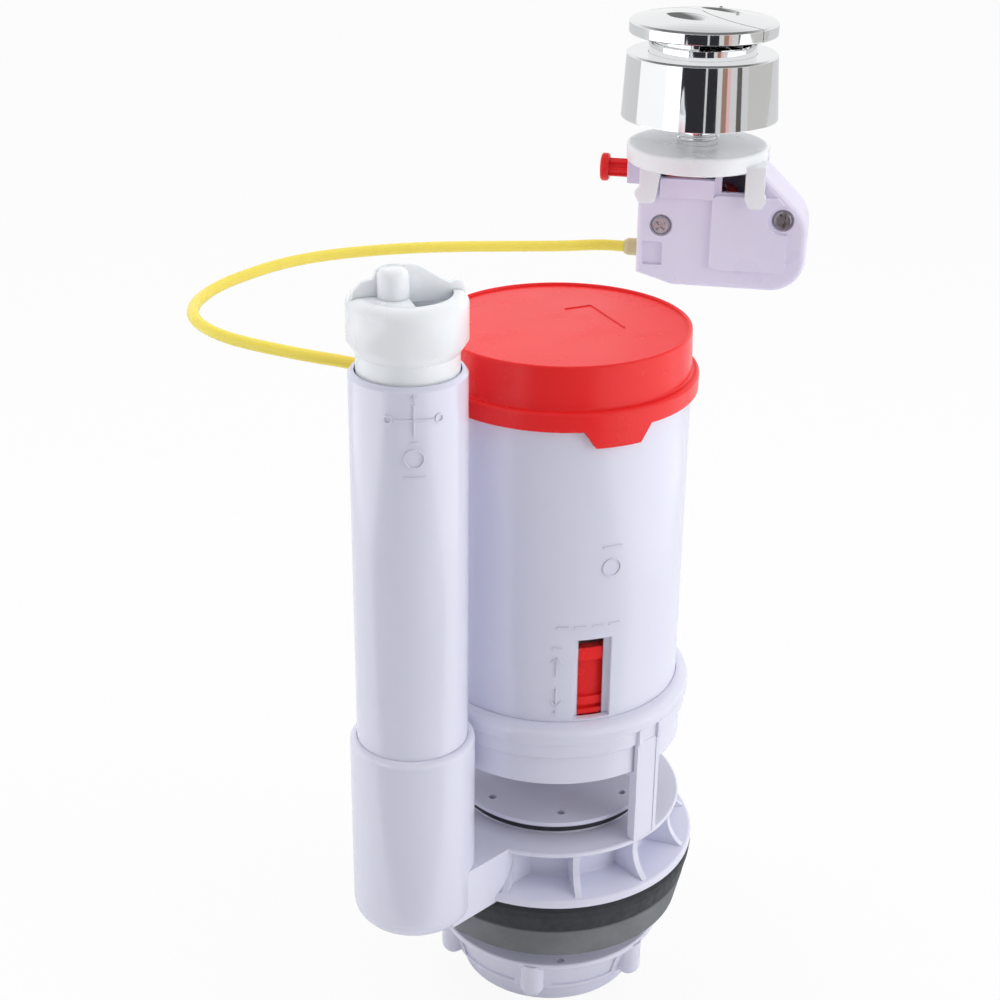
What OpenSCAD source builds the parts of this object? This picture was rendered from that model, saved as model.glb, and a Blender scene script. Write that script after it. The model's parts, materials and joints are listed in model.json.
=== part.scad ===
// Cable-operated dual flush valve for a toilet cistern, in millimetres.
// The origin is the centre of the outlet tail's lower end, +Z runs up the tower, -Y is the front.

/* [Outlet] */
// Radius of the outlet tail over its thread
tail_r = 29.8; // [29:0.1:31]
// Length of the tail's plain lead-in below its thread
tail_lead_l = 5.5; // [4:0.5:5.5]
// Height of the flange's underside above the tail's end
tail_l = 49.9; // [48:0.1:56]
// Radius of the outlet bore
bore_r = 25.5; // [23:0.1:26]
// Radius of the lower flange
flange_r = 47.3; // [46.5:0.1:48]
// Thickness of the lower flange
flange_t = 3.1; // [2.5:0.1:4]
// Height of the drain wall between flange and disc
drain_h = 12.6; // [11:0.1:15]
// Outer radius of the drain wall
drain_r = 33; // [32:0.1:35]
// Radius of the throat under the valve seat
throat_r = 28; // [27.5:0.1:28.5]
// Width of the disc's edge outside the cage's posts
disc_edge = 1; // [0.6:0.1:2]
// Thickness of the disc
disc_t = 1.9; // [1.6:0.1:3]
// Height of the valve seat above the disc
seat_h = 1.3; // [1:0.1:2]
// Number of ribs round the drain wall
rib_n = 12; // [8:1:16]
// Thickness of a rib
rib_t = 2.2; // [1.6:0.1:3]

/* [Fixings] */
// Thickness of the black washer
black_t = 9.7; // [8:0.1:11]
// Thickness of the grey washer
grey_t = 11.8; // [9:0.1:12]
// Largest radius of the grey washer
grey_r = 45.6; // [44:0.1:47]
// Room between nut and washer for the cistern floor
floor_gap = 7.9; // [5:0.1:9]
// Height of the back nut
nut_h = 14.5; // [12:0.1:15]
// Radius of the back nut's rim
nut_r = 37.9; // [36.5:0.1:39]
// Number of grip lugs on the back nut
lug_n = 6; // [4:1:8]

/* [Cage] */
// Number of posts
post_n = 3; // [3:1:4]
// Width of a post
post_w = 10; // [8:0.5:12]
// Height of the water windows between the posts
cage_window_h = 25.5; // [24:0.1:30]
// Thickness of the collar round the tower's band
collar_t = 2.2; // [1.9:0.1:3]
// Height of the collar below its lip
collar_h = 7; // [6:0.1:9]
// Height of the collar's lip
lip_h = 4.3; // [3:0.1:6]

/* [Tower] */
// Outer radius of the tower
tower_r = 39.2; // [36:0.1:42]
// Wall of the tower
tower_wall = 2.2; // [1.8:0.1:2.4]
// How far the flared band at the tower's foot stands out
band_out = 1.8; // [1.2:0.1:2.5]
// Height of the band that shows below the collar
band_show_h = 10; // [8:0.1:12]
// Height of the tower from its foot to its top
tower_h = 121.5; // [118:0.5:130]
// Width of the slider window
window_w = 11.7; // [10:0.1:13]
// Height of the slider window
window_h = 27.5; // [26:0.1:30]
// Direction that the slider window faces, in degrees
window_deg = -74.9; // [-90:0.1:-60]

/* [Cap] */
// How far the cap's rim stands out from the tower
cap_rim_out = 2.1; // [1.8:0.1:3]
// Height of the cap's rim
cap_rim_h = 6; // [5:0.1:8]
// Depth to which the rim covers the tower
cap_cover_h = 4; // [3:0.1:5]
// Height of the cap above the tower's top
cap_h = 15.1; // [13:0.1:18]
// Wall of the cap
cap_wall = 2.1; // [1.6:0.1:2.4]

/* [Overflow] */
// Gap between the cage's collar and the overflow's socket
overflow_gap = 0.25; // [0.2:0.05:3]
// Direction of the overflow, in degrees
overflow_deg = 225; // [215:1:235]
// Outer radius of the overflow tube
tube_r = 16.8; // [16.4:0.1:17]
// Wall of the overflow tube
tube_wall = 1.7; // [1.4:0.1:2]
// Wall of the socket round the tube
socket_wall = 2.05; // [1.8:0.05:2.1]
// Depth of the tube in its socket
tube_seat_h = 41.5; // [36:0.5:44]
// Length of the overflow tube
tube_l = 159; // [150:1:170]
// Length of the slider's tube inside the overflow tube
slider_l = 101; // [90:1:120]
// Wall of the slider's tube
slider_wall = 1.9; // [1.8:0.1:2.1]
// Gap between the tube's top and the slider's cap
slider_gap = 5.8; // [5.5:0.1:9]
// Height of the slider's cap
slider_cap_h = 15.6; // [13:0.1:18]
// Height of the twist handle above the cap
handle_h = 12.6; // [9:0.1:14]

/* [Valve] */
// Radius of the valve plate
plate_r = 33; // [32:0.1:34]
// Thickness of the valve plate
plate_t = 2; // [1.6:0.1:3]
// Thickness of the valve seal
seal_t = 2.2; // [1.8:0.1:3]
// Radius of the lift spindle
spindle_r = 4; // [3.6:0.1:4.4]
// Room between the float and the volume slider
float_gap = 3.6; // [2.6:0.1:6]
// Height of the float cup
float_h = 46; // [40:0.5:50]

/* [Linkage] */
// Travel of a flush key
press = 6; // [5:0.1:6.2]
// Arm of the tower crank that lifts the spindle
crank_lift_l = 16; // [15:0.1:18]
// Arm of the tower crank that the wire pulls
crank_up_l = 15.5; // [14.5:0.1:16]
// Direction in which the cable leaves the tower, in degrees
cable_deg = 160; // [150:1:170]
// Distance of the lever's pin from the stem's axis
lever_x = 10; // [9.5:0.1:11]
// Depth of the lever's pin below the box's top
lever_drop = 18; // [17.5:0.1:19]
// Depth of the wire below the box's top
wire_drop = 33.5; // [32.5:0.1:34]

/* [Button unit] */
// Place of the stem's axis to the right of the tower's
unit_x = 51; // [45:1:65]
// Place of the stem's axis behind the tower's
unit_y = 128; // [120:1:140]
// Height of the box's top
unit_z = 247; // [240:1:255]
// Turn of the unit about its stem, in degrees
unit_deg = -10; // [-15:1:10]
// Depth of the box from front to back
box_d = 25; // [24:0.1:28]
// Wall of the box
box_wall = 2; // [1.6:0.1:2.2]
// Thickness of the clamp bracket's plate
bracket_t = 6.5; // [5:0.1:8]
// Room between bracket and skirt for the cistern lid
lid_gap = 9.5; // [7:0.1:14]
// Radius of the stem
stem_r = 7; // [6.8:0.1:7.4]
// Radius of the skirt at its foot
skirt_r = 27.8; // [27.6:0.1:30]
// Height of the skirt
skirt_h = 22.5; // [21:0.1:26]
// Radius of the flush keys' disc
key_r = 26; // [25.6:0.1:27]
// Gap between the skirt and the keys
key_gap = 6.5; // [6.5:0.1:8]
// Height of the keys' rim
key_rim_h = 4.4; // [4:0.1:5.5]
// Rise of the keys' dome above the rim
key_dome_h = 2.8; // [2:0.1:4]

/* [Hidden] */
$fn = 64;
hull_fn = 32;
coil_fn = 12;

// Clearances
run_fit = 0.05;
fixed_fit = 0.1;
loose_fit = 0.3;
post_fit = 0.2;
eps = 0.5;

// Radii that follow the tower's
tower_in_r = tower_r - tower_wall;
band_r = tower_r + band_out;
post_r_in = band_r + post_fit;
collar_r = band_r + collar_t;
disc_r = post_r_in + disc_edge;
cap_rim_r = tower_r + cap_rim_out;

// Outlet
edge = 0.6;
rim_round = 1;
tail_lead_r = tail_r - 0.4;
seat_r = throat_r + 1.5;
seat_w = 1.2;
z_flange = tail_l;
z_flange_top = z_flange + flange_t;
z_disc = z_flange_top + drain_h;
z_disc_top = z_disc + disc_t;
z_seat = z_disc_top + seat_h;
first_rib_deg = -80;
rib_scoop_r = 12.2;
rib_scoop_at = [disc_r + 10.8, z_disc - 2.6];
throat_cone = 2.5;

// Washers and nut
black_r = flange_r;
z_black = z_flange - black_t;
z_grey = z_black - grey_t;
z_nut_top = z_grey - floor_gap;
z_nut = z_nut_top - nut_h;
washer_bore_r = tail_r + loose_fit;
nut_bore_r = tail_r + run_fit;
nut_grip_h = 6;
nut_recess = 0.8;
nut_foot_r = nut_r - 5.4;
nut_rim_h = 2.2;
nut_cone_r = nut_r - 1.9;
lug_r = 4;
lug_out = 0.7;
lug_pitch = 360 / lug_n;
pocket_deg = lug_pitch - 22;
pocket_edge = 2.4;
pocket_t = 0.9;
first_lug_deg = -100;

// Cage
first_post_deg = -47;
z_band = z_disc_top + cage_window_h;
z_collar = z_band + band_show_h;
z_lip = z_collar + collar_h;
z_collar_top = z_lip + lip_h;
lip_step = 0.9;
lip_drop = 1.4;
collar_band_r = collar_r - lip_step;
post_ledge_in = 5;
post_rib_w = 1.5;
post_panel_t = 1.2;

// Tower
lip_round = collar_r - tower_r - fixed_fit;
band_in_r = band_r - tower_wall;
band_cone_h = 3;
z_band_top = z_lip - fixed_fit;
z_tower_top = z_band + tower_h;
z_window = z_collar_top + 0.7;
window_bevel = 0.6;
boss_r = 4.4;
boss_l = 2.8;

// Crank frame, hung below the tower's top
frame_drop = 37.5;
frame_t = 3;
shelf_t = 2;
shelf_w = 2.5;
pivot_h = 10;
pin_r = 1.5;
z_frame = z_tower_top - frame_drop;
z_pivot = z_frame + frame_t + pivot_h;
z_wire = z_pivot + crank_up_l;

// Cap
cap_rim_step = 2.2;
cap_side_r = cap_rim_r - cap_rim_step;
cap_lip = 1.2;
cap_taper = 0.4;
cap_dish = 0.8;
z_cap = z_tower_top - cap_cover_h;
z_cap_top = z_tower_top + cap_h;
chevron_at = [9.1, 18];
chevron_arms = [[9, 205], [22.5, -66]];
chevron_w = 0.5;
chevron_h = 0.3;
tab_deg = -67.5;
tab_h = 5;
tab_top_w = 21.5;
tab_foot_w = 14;

// Volume slider
slide_half_deg = 12;
slide_out_r = tower_in_r - loose_fit;
slide_plate_r = slide_out_r - 1.5;
slide_in_r = slide_plate_r - 1.6;
slide_travel = 18;
z_slide = z_window - slide_travel;
slide_top_gap = 4.2;
z_slide_top = z_window + window_h - slide_top_gap;
rail_w = 2;

// Overflow
tube_in_r = tube_r - tube_wall;
socket_r = tube_r + fixed_fit + socket_wall;
overflow_d = collar_r + overflow_gap + socket_r;
overflow_x = overflow_d * cos(overflow_deg);
overflow_y = overflow_d * sin(overflow_deg);
socket_floor = 3;
socket_drop = 1.9;
socket_fillet = 7;
z_socket = z_flange - socket_drop;
well_h = 21;
z_tube = z_socket + socket_floor + well_h;
z_socket_top = z_tube + tube_seat_h;
z_tube_top = z_tube + tube_l;
arm_w = 35.6;
duct_w = 26;
duct_h = z_disc - z_flange_top - 1.1;
slider_r = tube_in_r - 0.5;
slider_in_r = slider_r - slider_wall;
z_slider = z_tube_top - slider_l;
z_slider_cap = z_tube_top + slider_gap;
z_slider_top = z_slider_cap + slider_cap_h;
slider_cap_r = tube_r + 0.2;
slider_cap_bevel = [2.2, 3.4];
slider_cap_round = 3;
seal_ring_h = 4.2;
seal_ring_drop = 4;
seal_groove_r = slider_r - 1.1;
handle_t = 2.4;
handle_deg = 18;
handle_boss_r = 5.2;
handle_boss_round = 2.4;
handle_post_x = 3;
handle_bead_r = 1.7;

// Valve
z_plate = z_seat + seal_t + run_fit;
hub_r = 7.5;
hub_h = 9;
z_hub_top = z_plate + hub_h;
hole_n = 7;
hole_r = 1.3;
hole_circle_r = plate_r - 6;
first_hole_deg = -85.3;
seal_in_r = 10;
seal_out_r = plate_r - 1.5;
retainer_r = throat_r - 4;
retainer_t = 2.2;
retainer_nut_h = 4.6;
retainer_nut_r = 7;
z_retainer = z_plate - seal_t - retainer_t;
spindle_collar_r = spindle_r + 2;
spindle_collar_t = 2;
head_r = spindle_r + 0.8;
neck_r = 2.4;
head_t = 2;
guide_ring_h = 4;
guide_hub_h = 8;
guide_hub_r = 7;
guide_arm_w = 3;
z_float = z_band + guide_hub_h + 13;
float_r = slide_in_r - float_gap;
float_wall = 1.6;
float_foot = 4;

// Linkage, worked out from the key's travel
rod_r = 1.4;
rod_off = 2.4;
split_deg = 145;
rod_x = rod_off * cos(split_deg - 90);
arm_half_t = 2;
z_lever = unit_z - lever_drop;
z_pull = unit_z - wire_drop;
lever_down_l = z_lever - z_pull;
lever_half = atan(press / 2 / (lever_x - rod_x));
wire_pull = 2 * lever_down_l * tan(lever_half);
crank_half = atan(wire_pull / 2 / crank_up_l);
z_tip = z_pivot - crank_lift_l * sin(crank_half);
tip_r = 1.8;
tip_gap = 0.6;
tine_in = neck_r + 0.4;
tine_out = head_r - 0.2;
nipple_r = 1.6;
wire_r = 0.75;
wire_bore_r = 1;
fork_in = 1.2;
crank_half_t = 2.5;
lever_half_t = 3;
slot_w = 2 * (nipple_r + loose_fit);
slot_start = 2.4;
slot_end = 3.5;
crank_wire_u = crank_lift_l - crank_up_l * tan(crank_half);
lever_wire_x = lever_x - lever_down_l * tan(lever_half);
cheek_in = crank_half_t + 0.5;
cheek_t = 2.5;
cheek_r = 4;

// Cable
sheath_r = 2;
gland_r = 3;
gland_in_u = tower_in_r - 4;
gland_out = 7.8;
gland_mouth_u = tower_r + gland_out;
wire_out_u = gland_mouth_u - wire_pull - 1;
ferrule_r = 3.15;
ferrule_out_x = -24.8;
ferrule_in_x = -9;
sheath_sides = 10;
sheath_steps = 3;
sheath_lead = 8;
gland_dir = [cos(cable_deg), sin(cable_deg), 0];
gland_mouth = (gland_mouth_u + fixed_fit) * gland_dir + [0, 0, z_wire];
unit_dir = [cos(unit_deg), sin(unit_deg), 0];
ferrule_mouth = [unit_x, unit_y, z_pull] + (ferrule_out_x - fixed_fit) * unit_dir;
sheath_route = concat(
    [gland_mouth, gland_mouth + sheath_lead * gland_dir],
    [[-60, 20.8, 206.8], [-68, 21.6, 208.2], [-78, 22.6, 209.5], [-88, 25, 210.5], [-98, 28.6, 211.3],
    [-107, 33.4, 212], [-114, 40, 212.6], [-118.6, 48, 213], [-120.4, 58, 213.2], [-119, 69, 213.4],
    [-114.5, 81, 213.6], [-107, 92.5, 213.8], [-98, 103, 214], [-88, 111.5, 214], [-77, 117.5, 214],
    [-66, 121.6, 214], [-54, 124.6, 214.1], [-38, 128.5, 213.7], [-19, 131.5, 213.2], [4, 133.9, 212.9]],
    [ferrule_mouth - sheath_lead * unit_dir, ferrule_mouth]);

// Button box, in the unit's own frame with the stem's axis at x = 0
box_left = -19.3;
box_right = 41.4;
box_bottom = unit_z - 43.4;
box_round = 12.4;
box_side_r = 14;
box_side_z = unit_z - 23;
box_slope_deg = 46;
box_edge = 2;
box_chamfer = [[box_left, unit_z - 39.4], [-6, box_bottom]];
box_chamfer_deg = atan2(box_chamfer[0][1] - box_bottom, box_chamfer[1][0] - box_left);
half_d = box_d / 2;
screw_at = [[-10.7, unit_z - 21.2], [32.4, unit_z - 17]];
screw_r = 1.5;
screw_head_r = 3.7;
screw_boss_r = 4;
screw_l = 18;
screw_sink = 0.8;
panel_t = 1.2;
panel_round = 2.5;
panel_x = [7.2, 34.2];
panel_drop = [9, 36.3];
panel_notch_r = 5.2;
strip_x = [-11.5, 7.7];
strip_drop = [3.8, 10.8];
slit_drop = 1.4;
port_x = [10.2, 18.3];
port_drop = 8.1;
recess_x = [-17.1, -9.9];
recess_drop = [27.4, 36];
recess_t = 1.2;
corner_r = 0.8;
lock_z = unit_z - 4.2;
lock_r = 3.3;
lock_boss_l = 5;
lock_boss_half = 5;
lock_boss_h = 8.5;
lock_knob_r = 5;
lock_knob_x = -34.3;
lock_knob_t = 3;
lock_fin = 1.5;
lock_groove = 0.8;
fork_t = 1.6;
fork_end_x = 3.2;
fork_web = 3.8;
groove_r = stem_r - 1.5;
fork_half_in = groove_r + 0.2;
fork_half_out = half_d - box_wall - 1;

// Bracket
z_bracket_top = unit_z + bracket_t;
bracket_r = 25.2;
bracket_round = 1.2;
leg_t = 3;
leg_l = 12.4;
leg_web_t = 2.6;
leg_gap = 0.2;
leg_y = half_d + panel_t + leg_gap;
left_leg_x = [-18.4, -10.7];
right_leg_x = [18.6, 25.4];
leg_flare = 2;

// Stem, skirt and keys
stem_bore_r = 4;
stem_l_below = 7.5;
z_skirt = z_bracket_top + lid_gap;
z_skirt_top = z_skirt + skirt_h;
skirt_top_r = skirt_r - 1.3;
skirt_wall = 1.6;
skirt_web_h = 3;
skirt_web_t = 2;
z_cup = z_skirt + skirt_web_h + skirt_web_t;
cup_r = 19;
cup_wall = 1.6;
cup_floor = 2.5;
z_key = z_skirt_top + key_gap;
key_wall = 2;
z_key_plate = z_key + key_rim_h;
z_key_top = z_key_plate + key_dome_h;
key_plate_t = 1.2;
z_key_under = z_key_plate - key_plate_t;
z_cup_top = z_key_under - press - loose_fit;
key_leg_t = 1.5;
key_leg_deg = 35;
key_leg_l = 17;
split_gap = 0.25;
split_sag = 4;
spring_at = 10;
spring_r = 3.8;
spring_wire_r = 0.4;
spring_turns = 7;
peg_r = 2.6;
peg_h = 2;

// Shared shapes

function arc(cx, cy, r, a0, a1, n = 8) =
    [for (i = [0 : n]) let (a = a0 + (a1 - a0) * i / n) [cx + r * cos(a), cy + r * sin(a)]];

module ring(r_out, r_in, z0, z1) {
    difference() {
        translate([0, 0, z0]) cylinder(r = r_out, h = z1 - z0);
        translate([0, 0, z0 - eps]) cylinder(r = r_in, h = z1 - z0 + 2 * eps);
    }
}

module rod_x(x0, x1, r) {
    translate([x0, 0, 0]) rotate([0, 90, 0]) cylinder(r = r, h = x1 - x0);
}

module rod_y(y0, y1, r) {
    translate([0, y0, 0]) rotate([-90, 0, 0]) cylinder(r = r, h = y1 - y0);
}

module block(x0, x1, y0, y1, z0, z1) {
    translate([x0, y0, z0]) cube([x1 - x0, y1 - y0, z1 - z0]);
}

// A flat outline in x and z, drawn out along y
module slab_y(y0, y1) {
    translate([0, y1, 0]) rotate([90, 0, 0]) linear_extrude(y1 - y0) children();
}

module round_square(x0, x1, y0, y1, r) {
    translate([x0 + r, y0]) square([x1 - x0 - 2 * r, y1 - y0]);
    translate([x0, y0 + r]) square([x1 - x0, y1 - y0 - 2 * r]);
    for (x = [x0 + r, x1 - r], y = [y0 + r, y1 - r]) translate([x, y]) circle(r);
}

module at_overflow() {
    translate([overflow_x, overflow_y, 0]) children();
}

module at_unit() {
    translate([unit_x, unit_y, 0]) rotate([0, 0, unit_deg]) children();
}

module at_cable() {
    rotate([0, 0, cable_deg]) children();
}

// Tube swept along a list of points

function unit(v) = v / norm(v);

function spline(p0, p1, p2, p3, t) =
    0.5 * (2 * p1 + (p2 - p0) * t + (2 * p0 - 5 * p1 + 4 * p2 - p3) * t * t
    + (3 * p1 - p0 - 3 * p2 + p3) * t * t * t);

function smooth_route(route, steps) = let (last = len(route) - 1) concat(
    [for (i = [0 : last - 1], k = [0 : steps - 1])
        spline(route[max(i - 1, 0)], route[i], route[i + 1], route[min(i + 2, last)], k / steps)],
    [route[last]]);

function heading(route, i) = unit(route[min(i + 1, len(route) - 1)] - route[max(i - 1, 0)]);

module sweep(route, r, sides, up) {
    rings = len(route);
    points = [for (i = [0 : rings - 1]) let (d = heading(route, i), a = unit(cross(d, up)), b = cross(a, d))
        for (k = [0 : sides - 1]) route[i] + r * (cos(360 * k / sides) * a + sin(360 * k / sides) * b)];
    walls = [for (i = [0 : rings - 2], k = [0 : sides - 1]) let (n = (k + 1) % sides)
        [i * sides + k, i * sides + n, (i + 1) * sides + n, (i + 1) * sides + k]];
    ends = [[for (k = [sides - 1 : -1 : 0]) k], [for (k = [0 : sides - 1]) (rings - 1) * sides + k]];
    polyhedron(points, concat(walls, ends));
}

// Outlet base

module base_profile() {
    polygon(concat([
        [bore_r, 0], [tail_lead_r, 0], [tail_lead_r, tail_lead_l], [tail_r, tail_lead_l + tail_r - tail_lead_r],
        [tail_r, z_flange],
        [flange_r - edge, z_flange], [flange_r, z_flange + edge]],
        arc(flange_r - rim_round, z_flange_top - rim_round, rim_round, 0, 90, 4),
        arc(drain_r + rim_round, z_flange_top + rim_round, rim_round, 270, 180, 4),
        [[drain_r, z_disc], [disc_r - edge, z_disc], [disc_r, z_disc + edge]],
        arc(disc_r - edge, z_disc_top - edge, edge, 0, 90, 3), [
        [seat_r + seat_w, z_disc_top], [seat_r + seat_w / 2, z_seat], [seat_r - seat_w / 2, z_seat],
        [throat_r, z_disc_top], [throat_r, z_flange], [bore_r, z_flange - throat_cone]]));
}

module drain_rib() {
    slab_y(-rib_t / 2, rib_t / 2) difference() {
        translate([drain_r - edge, z_flange_top]) square([flange_r - drain_r, drain_h]);
        translate(rib_scoop_at) circle(rib_scoop_r);
    }
}

module socket_profile() {
    polygon(concat(
        [[0, z_socket]],
        arc(socket_r - socket_fillet, z_socket + socket_fillet, socket_fillet, -90, 0),
        arc(socket_r - socket_wall, z_socket_top - socket_wall, socket_wall, 0, 90, 5),
        [[0, z_socket_top]]));
}

module overflow_arm() {
    difference() {
        union() {
            rotate([0, 0, overflow_deg])
                block(throat_r - 6, overflow_d, -arm_w / 2, arm_w / 2, z_flange, z_disc_top);
            at_overflow() rotate_extrude() socket_profile();
        }
        translate([0, 0, z_black]) cylinder(r = black_r + loose_fit, h = black_t);
        translate([0, 0, z_black]) cylinder(r = throat_r + edge, h = z_seat);
    }
}

module outlet_base() {
    color("lavender") difference() {
        union() {
            rotate_extrude() base_profile();
            for (k = [0 : rib_n - 1]) rotate([0, 0, first_rib_deg + 360 * k / rib_n]) drain_rib();
            overflow_arm();
        }
        rotate([0, 0, overflow_deg]) block(throat_r - 4, overflow_d, -duct_w / 2, duct_w / 2,
            z_flange_top, z_flange_top + duct_h);
        at_overflow() {
            translate([0, 0, z_socket + socket_floor]) cylinder(r = tube_in_r, h = well_h + eps);
            translate([0, 0, z_tube]) cylinder(r = tube_r + fixed_fit, h = tube_seat_h + eps);
        }
    }
}

// Fixings below the flange

module black_washer() {
    color("darkslategray") rotate_extrude() polygon([
        [washer_bore_r, z_black], [black_r - 1.7, z_black], [black_r - 0.3, z_black + 0.6 * black_t],
        [black_r, z_flange - 2 * edge], [black_r - edge, z_flange], [washer_bore_r, z_flange]]);
}

module grey_washer() {
    color("dimgray") rotate_extrude() polygon([
        [washer_bore_r, z_grey], [grey_r - 3.2, z_grey], [grey_r - 2.4, z_grey + edge],
        [grey_r, z_black - edge], [grey_r - edge, z_black], [washer_bore_r, z_black]]);
}

module nut_profile() {
    polygon(concat(
        [[tail_r - eps, z_nut], [nut_foot_r - edge, z_nut], [nut_foot_r, z_nut + edge],
        [nut_cone_r, z_nut_top - nut_rim_h - edge]],
        arc(nut_r - edge, z_nut_top - nut_rim_h + edge, edge, -90, 0, 3),
        arc(nut_r - edge, z_nut_top - edge, edge, 0, 90, 3),
        [[tail_r - eps, z_nut_top]]));
}

// Shallow pocket in the nut's cone, between two lugs
module nut_pocket() {
    low = z_nut + pocket_edge;
    high = z_nut_top - nut_rim_h - pocket_edge;
    slope = (nut_cone_r - nut_foot_r) / (nut_h - nut_rim_h - 2 * edge);
    foot = nut_foot_r + slope * pocket_edge - pocket_t;
    polygon([[foot, low], [nut_r, low], [nut_r, high], [foot + slope * (high - low), high]]);
}

module back_nut() {
    color("lavender") difference() {
        union() {
            rotate_extrude() nut_profile();
            for (k = [0 : lug_n - 1]) rotate([0, 0, first_lug_deg + lug_pitch * k])
                translate([nut_r - lug_r + lug_out, 0, z_nut + lug_r]) {
                    cylinder(r = lug_r, h = nut_h - lug_r - nut_rim_h / 2, $fn = hull_fn);
                    sphere(r = lug_r, $fn = hull_fn);
                }
        }
        for (k = [0 : lug_n - 1]) rotate([0, 0, first_lug_deg + lug_pitch * k]) {
            rotate([0, 0, (lug_pitch - pocket_deg) / 2]) rotate_extrude(angle = pocket_deg) nut_pocket();
            rotate([0, 0, lug_pitch / 4]) translate([nut_r - 2.6, 0, z_nut_top - 1])
                cylinder(r = 1.3, h = 1 + eps, $fn = hull_fn);
        }
        ring(nut_r + 2 * lug_r, nut_bore_r + nut_recess, z_nut_top, z_nut_top + lug_r);
        translate([0, 0, z_nut - eps]) cylinder(r = nut_bore_r, h = nut_h + 2 * eps);
        translate([0, 0, z_nut + nut_grip_h]) cylinder(r = nut_bore_r + nut_recess, h = nut_h);
    }
}

// Locking cage

module collar_profile() {
    polygon(concat(
        [[post_r_in, z_collar], [collar_band_r - edge / 2, z_collar], [collar_band_r, z_collar + edge / 2]],
        arc(collar_r, z_lip - lip_drop - lip_step, lip_step, 180, 90, 4),
        arc(tower_r + fixed_fit, z_collar_top - lip_round, lip_round, 0, 80, 8),
        [[tower_r + fixed_fit, z_collar_top], [tower_r + fixed_fit, z_lip], [post_r_in, z_lip]]));
}

module cage_post() {
    block(post_r_in, post_r_in + post_panel_t, -post_w / 2, post_w / 2, z_disc_top, z_collar + eps);
    block(post_r_in - post_ledge_in, post_r_in + post_panel_t, -post_w / 2, post_w / 2,
        z_band - fixed_fit - post_ledge_in / 2, z_band - fixed_fit);
    for (side = [-1, 1])
        block(post_r_in - 1.6, collar_r - edge, side * (post_w - post_rib_w) / 2 - post_rib_w / 2,
            side * (post_w - post_rib_w) / 2 + post_rib_w / 2, z_disc_top, z_band - fixed_fit);
    for (side = [-1, 1])
        block(post_r_in, collar_r - edge, side * (post_w - post_rib_w) / 2 - post_rib_w / 2,
            side * (post_w - post_rib_w) / 2 + post_rib_w / 2, z_band - fixed_fit - eps, z_collar + eps);
    for (side = [-1, 1])
        block(collar_band_r - eps, collar_r - 0.1, side * (post_w - post_rib_w) / 2 - post_rib_w / 2,
            side * (post_w - post_rib_w) / 2 + post_rib_w / 2, z_collar, z_lip - lip_drop + 0.3);
}

module locking_cage() {
    color("lavender") difference() {
        union() {
            rotate_extrude() collar_profile();
            for (k = [0 : post_n - 1]) rotate([0, 0, first_post_deg + 360 * k / post_n]) cage_post();
        }
        translate([0, 0, z_band - fixed_fit]) cylinder(r = post_r_in, h = z_lip - z_band + fixed_fit);
    }
}

// Overflow

module overflow_tube() {
    color("lavender") at_overflow() rotate_extrude() polygon([
        [tube_in_r, z_tube], [tube_r, z_tube], [tube_r, z_tube_top - 1.2], [tube_r - 0.9, z_tube_top],
        [tube_in_r, z_tube_top]]);
}

module overflow_seal() {
    color("darkslategray") at_overflow() ring(tube_in_r - run_fit, seal_groove_r + run_fit,
        z_slider + seal_ring_drop, z_slider + seal_ring_drop + seal_ring_h);
}

module slider_profile() {
    groove_z = z_slider + seal_ring_drop;
    polygon(concat(
        [[slider_in_r, z_slider], [slider_r, z_slider], [slider_r, groove_z - fixed_fit],
        [seal_groove_r, groove_z - fixed_fit], [seal_groove_r, groove_z + seal_ring_h + fixed_fit],
        [slider_r, groove_z + seal_ring_h + fixed_fit], [slider_r, z_slider_cap],
        [slider_cap_r - slider_cap_bevel[0], z_slider_cap], [slider_cap_r, z_slider_cap + slider_cap_bevel[1]]],
        arc(slider_cap_r - slider_cap_round, z_slider_top - slider_cap_round, slider_cap_round, 0, 90, 8),
        [[slider_in_r, z_slider_top]]));
}

// Twist handle: a wall across the cap with a round post, a sloping wing and a bead at the wing's end
module slider_handle() {
    end = slider_cap_r - 0.8;
    top = z_slider_top + handle_h;
    slab_y(-handle_t / 2, handle_t / 2) polygon(concat(
        [[-end, z_slider_top - slider_cap_round], [-end + 0.6, z_slider_top + 1.5], [-end + 3.4, z_slider_top + 4.4]],
        arc(-handle_post_x - 1.5, top - 3.5, 3.5, 180, 90, 6),
        arc(handle_post_x - 3, top - 3, 3, 90, 55, 3),
        arc(end - handle_bead_r, z_slider_top + 3.4, handle_bead_r, 110, 0, 6),
        [[end, z_slider_top - slider_cap_round]]));
    translate([-handle_post_x, -handle_boss_r / 2, 0]) rotate_extrude() polygon(concat(
        [[0, z_slider_top - 2], [handle_boss_r, z_slider_top - 2]],
        arc(handle_boss_r - handle_boss_round, top - handle_boss_round, handle_boss_round, 0, 90, 6),
        [[0, top]]));
}

module overflow_slider() {
    color("whitesmoke", 0.7) at_overflow() union() {
        rotate_extrude() slider_profile();
        rotate([0, 0, handle_deg]) {
            slider_handle();
            intersection() {
                translate([0, 0, z_slider_top - 2]) cylinder(r = slider_in_r + eps, h = 2);
                block(-slider_r, -1, -slider_r, 0, z_slider_top - 2, z_slider_top);
            }
        }
    }
}

// Tower

module tower_profile() {
    polygon([
        [band_in_r, z_band], [band_r, z_band], [band_r, z_band_top], [tower_r, z_band_top],
        [tower_r, z_tower_top], [tower_in_r, z_tower_top],
        [tower_in_r, z_frame], [tower_in_r - shelf_w, z_frame], [tower_in_r - shelf_w, z_frame - shelf_t],
        [tower_in_r, z_frame - shelf_t - shelf_w],
        [tower_in_r, z_band_top - edge], [band_in_r, z_band_top - band_cone_h]]);
}

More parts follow.
